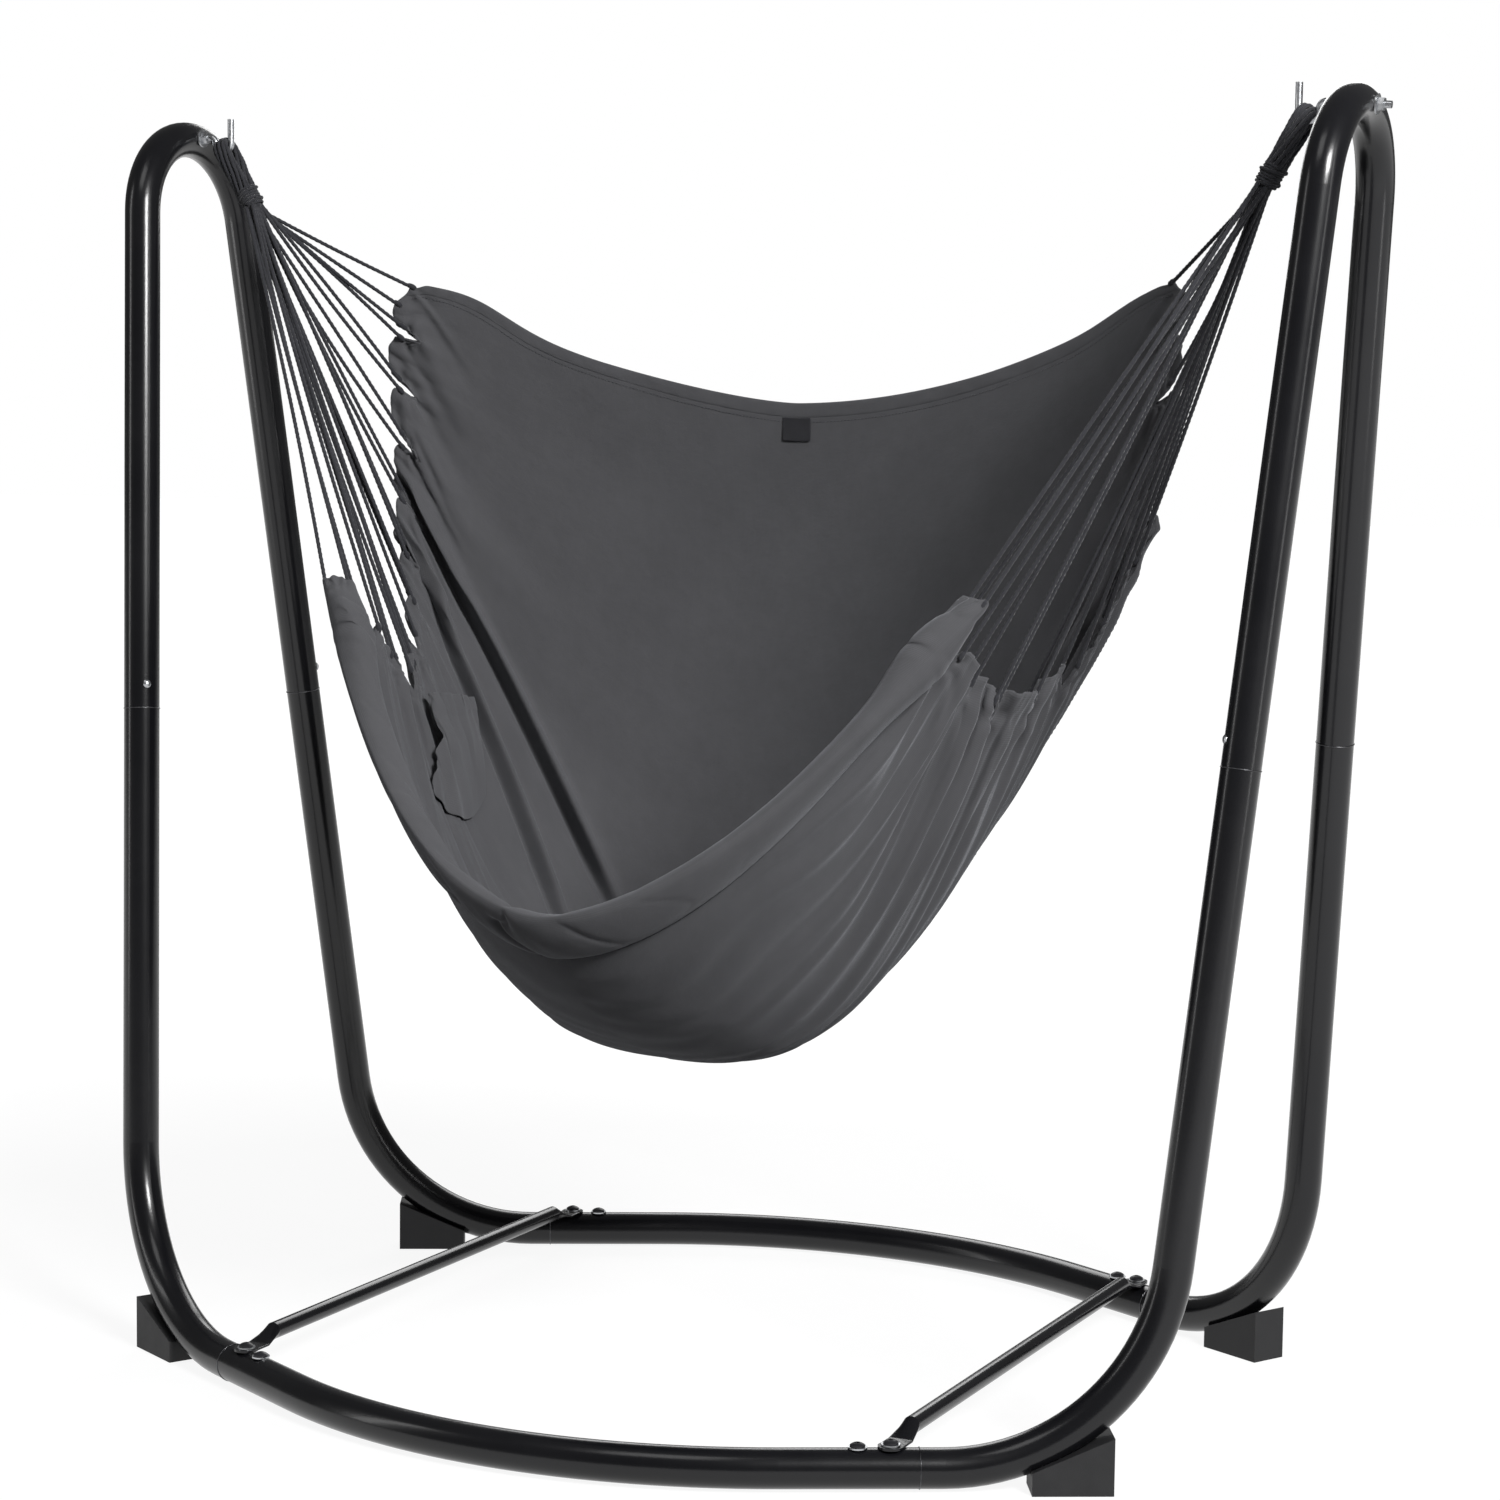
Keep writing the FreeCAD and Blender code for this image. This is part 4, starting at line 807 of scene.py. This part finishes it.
def make_pocket():
    """Patch pocket inside the left wall: sewn on three sides, its open top turned over."""
    columns, rows = 48, 48
    x, y = np.meshgrid(np.linspace(0, 1, columns), np.linspace(0, 1, rows))
    corners = np.array(POCKET)
    top = corners[0] * (1 - x[..., None]) + corners[1] * x[..., None]
    low = corners[3] * (1 - x[..., None]) + corners[2] * x[..., None]
    place = top * (1 - y[..., None]) + low * y[..., None]
    share, across = place[..., 0], place[..., 1]
    belly = np.sin(np.pi * x) ** 0.6 * (1 - y**2)
    slack = noise_grid(x * 2.2, y * 2.2, 2.4)
    gap = 0.004 + (0.010 + 0.004 * belly) * (1 - y**3) + 0.002 * slack * y * (1 - y)
    welt = 0.0012 * (y < 0.13)
    upper = gap + 0.0006 + welt
    lower = gap - 0.0006 - welt
    piece = soft_pad("side_pocket_patch", across, share, lower, upper, SMOOTH_CLOTH, (1 - y) ** 1.5)
    modify(piece, "SUBSURF", levels=1, render_levels=1)
    # the pocket takes the lighter copy of the cloth, which is painted light
    finish_piece(piece, ["side_pocket"], MATERIALS["hem_cloth"])
    return piece


TAG_HALF_WIDTH = 0.037       # as a share of the cloth's half width
TAG_TOP, TAG_END, TAG_LENGTH = 0.0145, 0.0375, 0.023


def make_tag():
    """Blank woven tag sewn under the back hem."""
    columns, rows = 14, 14
    widths = np.linspace(-TAG_HALF_WIDTH, TAG_HALF_WIDTH, columns)
    x, y = np.meshgrid(widths, np.linspace(TAG_TOP, TAG_END, rows))
    curl = 0.0016 + 0.0014 * ((y - TAG_TOP) / TAG_LENGTH) ** 2 + 0.0004 * noise_grid(x * 80, y * 80, 3.1)
    piece = soft_pad("sewn_tag", x, y, curl - 0.0003, curl + 0.0003)
    modify(piece, "SUBSURF", levels=1, render_levels=1)
    finish_piece(piece, ["blank_tag"], MATERIALS["tag"])
    return piece


# ---------------------------------------------------------------- stitches

STITCH_LENGTH = 0.0034
STITCH_PITCH = 0.0046
STITCH_RADIUS = 0.00042


def stitch_row(path, normals):
    """Short raised stitches along a path on the cloth."""
    travel = np.concatenate([[0], np.cumsum(np.linalg.norm(np.diff(path, axis=0), axis=1))])
    parts = []
    for start in np.arange(STITCH_PITCH / 2, travel[-1] - STITCH_LENGTH, STITCH_PITCH):
        at = start + np.array([0, 0.15, 0.5, 0.85, 1.0]) * STITCH_LENGTH
        line = np.stack([np.interp(at, travel, path[:, k]) for k in range(3)], axis=-1)
        lift = np.stack([np.interp(at, travel, normals[:, k]) for k in range(3)], axis=-1)
        line = line + lift * (STITCH_RADIUS * np.array([-0.6, 0.5, 0.8, 0.5, -0.6]))[:, None]
        radius = STITCH_RADIUS * np.array([0.45, 0.9, 1.0, 0.9, 0.45])
        parts.append(tube(line, radius, around=5))
    return parts


def cloth_line(across, share, offset):
    across = np.asarray(across, float)
    share = np.broadcast_to(np.asarray(share, float), across.shape)
    points = on_cloth(across, share)
    normals = unit(on_cloth(across, share, CLOTH_NORMALS))
    return points + normals * offset, normals * (1 if offset >= 0 else -1)


def make_stitches():
    even_across = np.linspace(-0.985, 0.985, 500)
    half_thickness = CLOTH_THICKNESS / 2
    parts = []
    for face in (-1, 1):
        parts += stitch_row(*cloth_line(even_across, BACK_HEM_SHARE * 1.35, face * half_thickness))
        parts += stitch_row(*cloth_line(even_across, FRONT_HEM_SHARE - 0.0045, face * half_thickness))
    piece = joined("hem_stitches", parts)
    piece.data.materials.append(MATERIALS["thread"])
    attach(piece, "chair")
    return piece


# ---------------------------------------------------------------- cords

CORD_RADIUS = 0.0022
CORD_STEP = 0.0024
CORD_PITCH = 0.0056


def whipping_ends(side):
    """Both ends of a whipping's axis, the one at the hook first."""
    name = side_name(side)
    centre = box_centre(name + "_whipping")
    low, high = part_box(name + "_whipping")
    axis = pull(side)
    # the box of a cylinder: its X side is length times |x| plus diameter times |z|
    length = ((high - low).x - (high - low).y * abs(axis.z)) / abs(axis.x)
    return centre - axis * (length / 2), centre + axis * (length / 2), (high - low).y / 2


def straight(start, end, step, bow, seed):
    """Points of a taut cord with a slight bow."""
    start, end = np.asarray(start, float), np.asarray(end, float)
    count = max(int(np.linalg.norm(end - start) / step), 4)
    t = np.linspace(0, 1, count)
    draw = random.Random(seed)
    aside = unit(np.cross(end - start, (draw.uniform(-1, 1), draw.uniform(-1, 1), draw.uniform(-1, 1))))
    sag = np.sin(np.pi * t) * bow * draw.uniform(0.2, 1.0)
    path = start + (end - start) * t[:, None] + aside * sag[:, None]
    path[:, 2] -= np.sin(np.pi * t) * bow * 0.5
    return path


def edge_place(side, place):
    """Point of the gathered edge at this many flaps from the back."""
    share = np.array(min(max(place / FLAPS, 0.0), 1.0))
    point = on_cloth(np.array(float(side) * 0.997), share)
    inner = on_cloth(np.array(float(side) * 0.96), share)
    return point, unit(point - inner)


def make_cord(side, index):
    """The two strands that hold the corners of neighbouring flaps at one notch."""
    axis = np.array(pull(side))
    across = np.array((0.0, 1.0, 0.0))
    outward = np.cross(axis, across)
    tail = np.array(whipping_ends(side)[1])
    column = (CORDS_PER_SIDE - 1) / 2 - index
    row = (index % 3 - 1) * CORD_PITCH
    start = tail - axis * 0.004 + across * (column * CORD_PITCH * 0.30) + outward * row * 0.8
    places = (index - NOTCH * 1.15, index + NOTCH * 1.15)
    if index == 0:
        places = (0.04, 0.42)
    if index == FLAPS:
        places = (FRONT_HEM_SHARE * FLAPS + 0.05, FLAPS - 0.04)
    parts = []
    for order, place in enumerate(places):
        end, out = edge_place(side, place)
        offset = across * (0.0016 if order == 0 else -0.0016)
        bow = 0.0035 if order == 0 else 0.006
        seed = index * 7 + order + (50 if side > 0 else 0)
        path = straight(start + offset, end - out * 0.006, CORD_STEP, bow, seed)
        parts.append(tube(path, CORD_RADIUS, around=9, lobes=3, lobe_depth=0.13, lay=0.021, start_turn=index))
        # the strand dives into the casing beside the notch
        knot = np.linspace(0, 1, 7)[:, None]
        back = path[-4] - path[-1]
        bead = (end - out * 0.008) + back / np.linalg.norm(back) * 0.012 * knot
        girth = CORD_RADIUS * np.array([0.6, 1.25, 1.4, 1.45, 1.4, 1.2, 0.7])
        parts.append(tube(bead, girth, around=9, lobes=5, lobe_depth=0.08, lay=0.006))
    name = side_name(side)
    piece = joined("cord_pair_%s_%02d" % (name, index + 1), parts)
    finish_piece(piece, ["cord_%s_%02d" % (name, index + 1)], MATERIALS["cord"])


LOOP_STRANDS = 13
LOOP_STRAND_RADIUS = 0.0021
LOOP_OFFSET = 0.0042
LEG_GAP = 0.0058             # half the distance between the loop's legs at the whipping
OUTER_STRANDS = 9            # the other strands lie inside these
INNER_RING = 0.42
STRAND_LAY = 0.26            # travel along the bundle in which its strands go once round
LOOP_FLATNESS = 2.1          # the bundle lies this much wider along the hook than it is thick


def make_loop(side):
    """Bundle of strands that goes over the hook, with both legs into the whipping."""
    name = side_name(side)
    head, _, _ = whipping_ends(side)
    axis = np.array(pull(side))
    across = np.array((0.0, 1.0, 0.0))
    low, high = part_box(name + "_rope_loop")
    bend_radius = (high - low).y / 2 - 0.006
    reach = np.linalg.norm(np.array(head) - np.array(hang_point(side)))
    line = [(LEG_GAP, reach + 0.006), (LEG_GAP + 0.0012, reach * 0.7), (bend_radius * 0.98, reach * 0.32)]
    other_leg = [(-y, travel) for y, travel in line[::-1]]
    for degrees in range(0, 181, 15):
        angle = math.radians(degrees)
        line.append((bend_radius * math.cos(angle), -bend_radius * math.sin(angle)))
    top = np.array(hang_point(side))
    control = np.array([top + across * y + axis * travel for y, travel in line + other_leg])
    knots = np.concatenate([[0], np.cumsum(np.linalg.norm(np.diff(control, axis=0), axis=1))])
    table = np.column_stack([knots, control])
    travel = np.arange(0, knots[-1], 0.0022)
    centre = smooth(table, travel)
    tangent = unit(np.gradient(centre, axis=0))
    lateral = np.cross(axis, across)
    radial = np.cross(tangent, lateral)
    parts = []
    for strand in range(LOOP_STRANDS):
        outer = strand < OUTER_STRANDS
        ring = 1.0 if outer else INNER_RING
        if outer:
            in_ring = strand / OUTER_STRANDS
        else:
            in_ring = (strand - OUTER_STRANDS) / (LOOP_STRANDS - OUTER_STRANDS)
        turn = 2 * math.pi * (in_ring + travel / STRAND_LAY * (1 if outer else -1))
        aside = lateral * (LOOP_FLATNESS * np.cos(turn))[:, None] + radial * np.sin(turn)[:, None]
        path = centre + LOOP_OFFSET * ring * aside
        lay = {"lobes": 3, "lobe_depth": 0.13, "lay": 0.018, "start_turn": strand}
        parts.append(tube(path, LOOP_STRAND_RADIUS, around=8, **lay))
    piece = joined(name + "_loop_bundle", parts)
    finish_piece(piece, [name + "_rope_loop"], MATERIALS["cord"])


WHIPPING_CORD_RADIUS = 0.0017


def make_whipping(side):
    """Close turns of thin cord round the bundle, with a second layer that crosses over."""
    name = side_name(side)
    head, tail, radius = whipping_ends(side)
    head, tail = np.array(head), np.array(tail)
    length = np.linalg.norm(tail - head)
    axis = (tail - head) / length
    across = np.array((0.0, 1.0, 0.0))
    third = np.cross(axis, across)
    coil = radius - WHIPPING_CORD_RADIUS
    pitch = WHIPPING_CORD_RADIUS * 2 * 1.03
    turns = int((length - 2 * WHIPPING_CORD_RADIUS) / pitch)
    angle = np.arange(0, turns * 2 * np.pi, math.radians(12))
    share = angle / angle[-1]
    waist = coil * (0.90 + 0.08 * np.sin(np.pi * share) ** 0.5 + 0.012 * np.sin(angle * 0.37 + side))
    path = (
        head + axis * (WHIPPING_CORD_RADIUS + share[:, None] * (length - 2 * WHIPPING_CORD_RADIUS))
        + across * (waist * np.cos(angle))[:, None]
        + third * (waist * np.sin(angle))[:, None]
    )
    parts = [tube(path, WHIPPING_CORD_RADIUS, around=8, lobes=3, lobe_depth=0.12, lay=0.010)]
    over = np.linspace(0, 1.35 * 2 * np.pi, 60)
    slope = np.linspace(0.15, 0.85, 60)
    crossing = (
        head + axis * (slope[:, None] * length)
        + across * ((coil + 0.0017) * np.cos(over + 1.0))[:, None]
        + third * ((coil + 0.0017) * np.sin(over + 1.0))[:, None]
    )
    parts.append(tube(crossing, WHIPPING_CORD_RADIUS * 0.95, around=8, lobes=3, lobe_depth=0.12, lay=0.010))
    core = head + axis * (np.linspace(-0.03, 1.03, 12)[:, None] * length)
    fill = np.array([0.55, 0.8, 0.86, 0.9, 0.9, 0.9, 0.9, 0.9, 0.9, 0.86, 0.8, 0.6])
    girth = (coil - WHIPPING_CORD_RADIUS * 0.4) * fill
    parts.append(tube(core, girth, around=24))
    piece = joined(name + "_whipping_turns", parts)
    finish_piece(piece, [name + "_whipping"], MATERIALS["cord"])


# ---------------------------------------------------------------- joint lines on the stand

JOINT_LINE_RADIUS = 0.0006


def end_ring(points):
    """Centre, axis and radius of a tube's cut end, from the points of its two rims."""
    centre = points.mean(axis=0)
    spokes = points - centre
    axis = np.linalg.svd(spokes, full_matrices=False)[2][2]
    return centre, axis, np.linalg.norm(spokes, axis=1).max()


def joint_line(points):
    """Bare rim of a tube's end, where the powder coat has worn off."""
    centre, axis, radius = end_ring(points)
    angle = np.linspace(0, 2 * np.pi, 73)
    first = unit(np.cross(axis, (0, 1.0, 0.3)))
    second = np.cross(axis, first)
    circle = centre + radius * (np.cos(angle)[:, None] * first + np.sin(angle)[:, None] * second)
    return tube(circle, JOINT_LINE_RADIUS, around=8)


def node_points(node):
    mesh = NODES[node].data
    found = np.empty(len(mesh.vertices) * 3)
    mesh.vertices.foreach_get("co", found)
    return found.reshape(-1, 3)


def make_joint_lines():
    parts = []
    for name, _ in SIDES:
        points = node_points(name + "_arch_tube")
        for end in (-1, 1):
            leg = points[points[:, 1] * end > 0]
            parts.append(joint_line(leg[leg[:, 2] < leg[:, 2].min() + 0.007]))
    for name in ("front", "rear"):
        points = node_points(name + "_base_tube")
        for _, side in SIDES:
            reach = points[:, 0] * side
            parts.append(joint_line(points[reach > reach.max() - 0.0205]))
    piece = joined("joint_lines", parts)
    piece.data.materials.append(MATERIALS["worn_edge"])
    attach(piece, "stand")


# ---------------------------------------------------------------- stage, light and camera


FLOOR_DARK, FLOOR_LIGHT = (0.115, 0.115, 0.116), (0.135, 0.135, 0.136)
NEAR_GLOW, FAR_GLOW = 0.90, 0.14    # the floor as the camera sees it, near the stand and added far off
AMBIENT = 0.09                      # the world's light on the object
GLOSSY_SHARE = 0.03                 # how much of the pale background shows in reflections
# Lamps: (name, place, target, width, height, power).
LAMPS = (
    ("key", (3.5, -2.3, 3.2), (0, 0, 0.8), 1.2, 1.2, 280),
    ("top", (0.0, -2.4, 4.4), (0, 0, 0.9), 1.6, 1.6, 20),
    ("left_strip", (-3.4, -2.4, 1.8), (0, 0, 0.8), 0.4, 3.0, 20),
    ("right_strip", (4.0, -0.6, 1.8), (0, 0, 0.8), 0.3, 3.0, 16),
    ("rim", (-1.2, 3.6, 2.4), (0, 0, 0.9), 2.4, 1.6, 45),
)
CAMERA_PLACE = (1.6956, -3.4760, 1.0692)
CAMERA_TURN = (25.45, 5.315, 0.706)   # yaw, pitch down and roll, in degrees
CAMERA_LENS = 80.81


def make_stage():
    size = 40.0
    corners = [(-size, -size, 0), (size, -size, 0), (size, size, 0), (-size, size, 0)]
    floor = add_mesh("floor", corners, [(0, 1, 2, 3)])
    shader = Shader("floor")
    here = shader.place()
    grain = shader.noise(here, 30.0, 4.0)
    colour = shader.ramp(grain, [(0.0, FLOOR_DARK), (1.0, FLOOR_LIGHT)])
    shader.link(colour, shader.surface.inputs["Base Color"])
    shader.set(Roughness=0.9, Specular_IOR_Level=0.05)
    away = shader.node("VectorMath", operation="LENGTH")
    shader.link(here, away.inputs[0])
    far = shader.node("MapRange")
    far.inputs["From Min"].default_value = 1.3
    far.inputs["From Max"].default_value = 3.0
    shader.link(away.outputs["Value"], far.inputs["Value"])
    rays = shader.node("LightPath")
    seen = shader.math("MAXIMUM", rays.outputs["Is Camera Ray"], rays.outputs["Is Glossy Ray"])
    seen = shader.math("MAXIMUM", seen, rays.outputs["Is Transmission Ray"])
    glow = shader.node("Emission", Color=(1, 1, 1, 1))
    level = shader.math("ADD", NEAR_GLOW, shader.math("MULTIPLY", far.outputs["Result"], FAR_GLOW))
    shader.link(shader.math("MULTIPLY", seen, level), glow.inputs["Strength"])
    both = shader.node("AddShader")
    shader.link(shader.surface.outputs["BSDF"], both.inputs[0])
    shader.link(glow.outputs["Emission"], both.inputs[1])
    output = shader.tree.nodes["Material Output"]
    shader.link(both.outputs["Shader"], output.inputs["Surface"])
    floor.data.materials.append(shader.material)


def make_world():
    world = bpy.data.worlds.new("studio")
    scene.world = world
    world.use_nodes = True
    tree = world.node_tree
    background = tree.nodes["Background"]
    rays = tree.nodes.new("ShaderNodeLightPath")

    def larger(first, second):
        made = tree.nodes.new("ShaderNodeMath")
        made.operation = "MAXIMUM"
        tree.links.new(first, made.inputs[0])
        tree.links.new(second, made.inputs[1])
        return made.outputs[0]

    seen = larger(rays.outputs["Is Camera Ray"], rays.outputs["Is Transmission Ray"])
    glossy = tree.nodes.new("ShaderNodeMath")
    glossy.operation = "MULTIPLY"
    glossy.inputs[1].default_value = GLOSSY_SHARE
    tree.links.new(rays.outputs["Is Glossy Ray"], glossy.inputs[0])
    level = tree.nodes.new("ShaderNodeMapRange")
    level.inputs["To Min"].default_value = AMBIENT
    level.inputs["To Max"].default_value = 1.0
    tree.links.new(larger(seen, glossy.outputs[0]), level.inputs["Value"])
    tree.links.new(level.outputs["Result"], background.inputs["Strength"])
    background.inputs["Color"].default_value = (1, 1, 1, 1)


def add_area(name, place, target, width, height, power):
    light = bpy.data.lights.new(name, "AREA")
    light.shape = "RECTANGLE"
    light.size = width
    light.size_y = height
    light.energy = power
    lamp = bpy.data.objects.new(name, light)
    lamp.location = place
    lamp.rotation_mode = "QUATERNION"
    lamp.rotation_quaternion = (Vector(target) - Vector(place)).to_track_quat("-Z", "Y")
    scene.collection.objects.link(lamp)


def make_lights():
    for lamp in LAMPS:
        add_area(*lamp)


def make_camera():
    """A long lens, a little above the seat, from the front right."""
    yaw, pitch, roll = (math.radians(turn) for turn in CAMERA_TURN)
    forward = Vector((-math.sin(yaw) * math.cos(pitch), math.cos(yaw) * math.cos(pitch), -math.sin(pitch)))
    level = Vector((math.cos(yaw), math.sin(yaw), 0))
    upright = level.cross(forward)
    right = level * math.cos(roll) + upright * math.sin(roll)
    up = upright * math.cos(roll) - level * math.sin(roll)
    camera = bpy.data.objects.new("camera", bpy.data.cameras.new("camera"))
    camera.matrix_world = Matrix((
        (right.x, up.x, -forward.x, CAMERA_PLACE[0]),
        (right.y, up.y, -forward.y, CAMERA_PLACE[1]),
        (right.z, up.z, -forward.z, CAMERA_PLACE[2]),
        (0, 0, 0, 1),
    ))
    camera.data.sensor_width = 36.0
    camera.data.lens = CAMERA_LENS
    camera.data.clip_start = 0.05
    camera.data.clip_end = 100
    scene.collection.objects.link(camera)
    scene.camera = camera


# ---------------------------------------------------------------- assembly

seat = make_seat()
front_hem = make_front_hem()
back_hem = make_back_hem()
pocket = make_pocket()
tag = make_tag()
stitches = make_stitches()
make_joint_lines()
for _, side in SIDES:
    make_loop(side)
    make_whipping(side)
    for index in range(CORDS_PER_SIDE):
        make_cord(side, index)

make_stage()
make_world()
make_lights()
make_camera()
scene.view_settings.view_transform = "Standard"
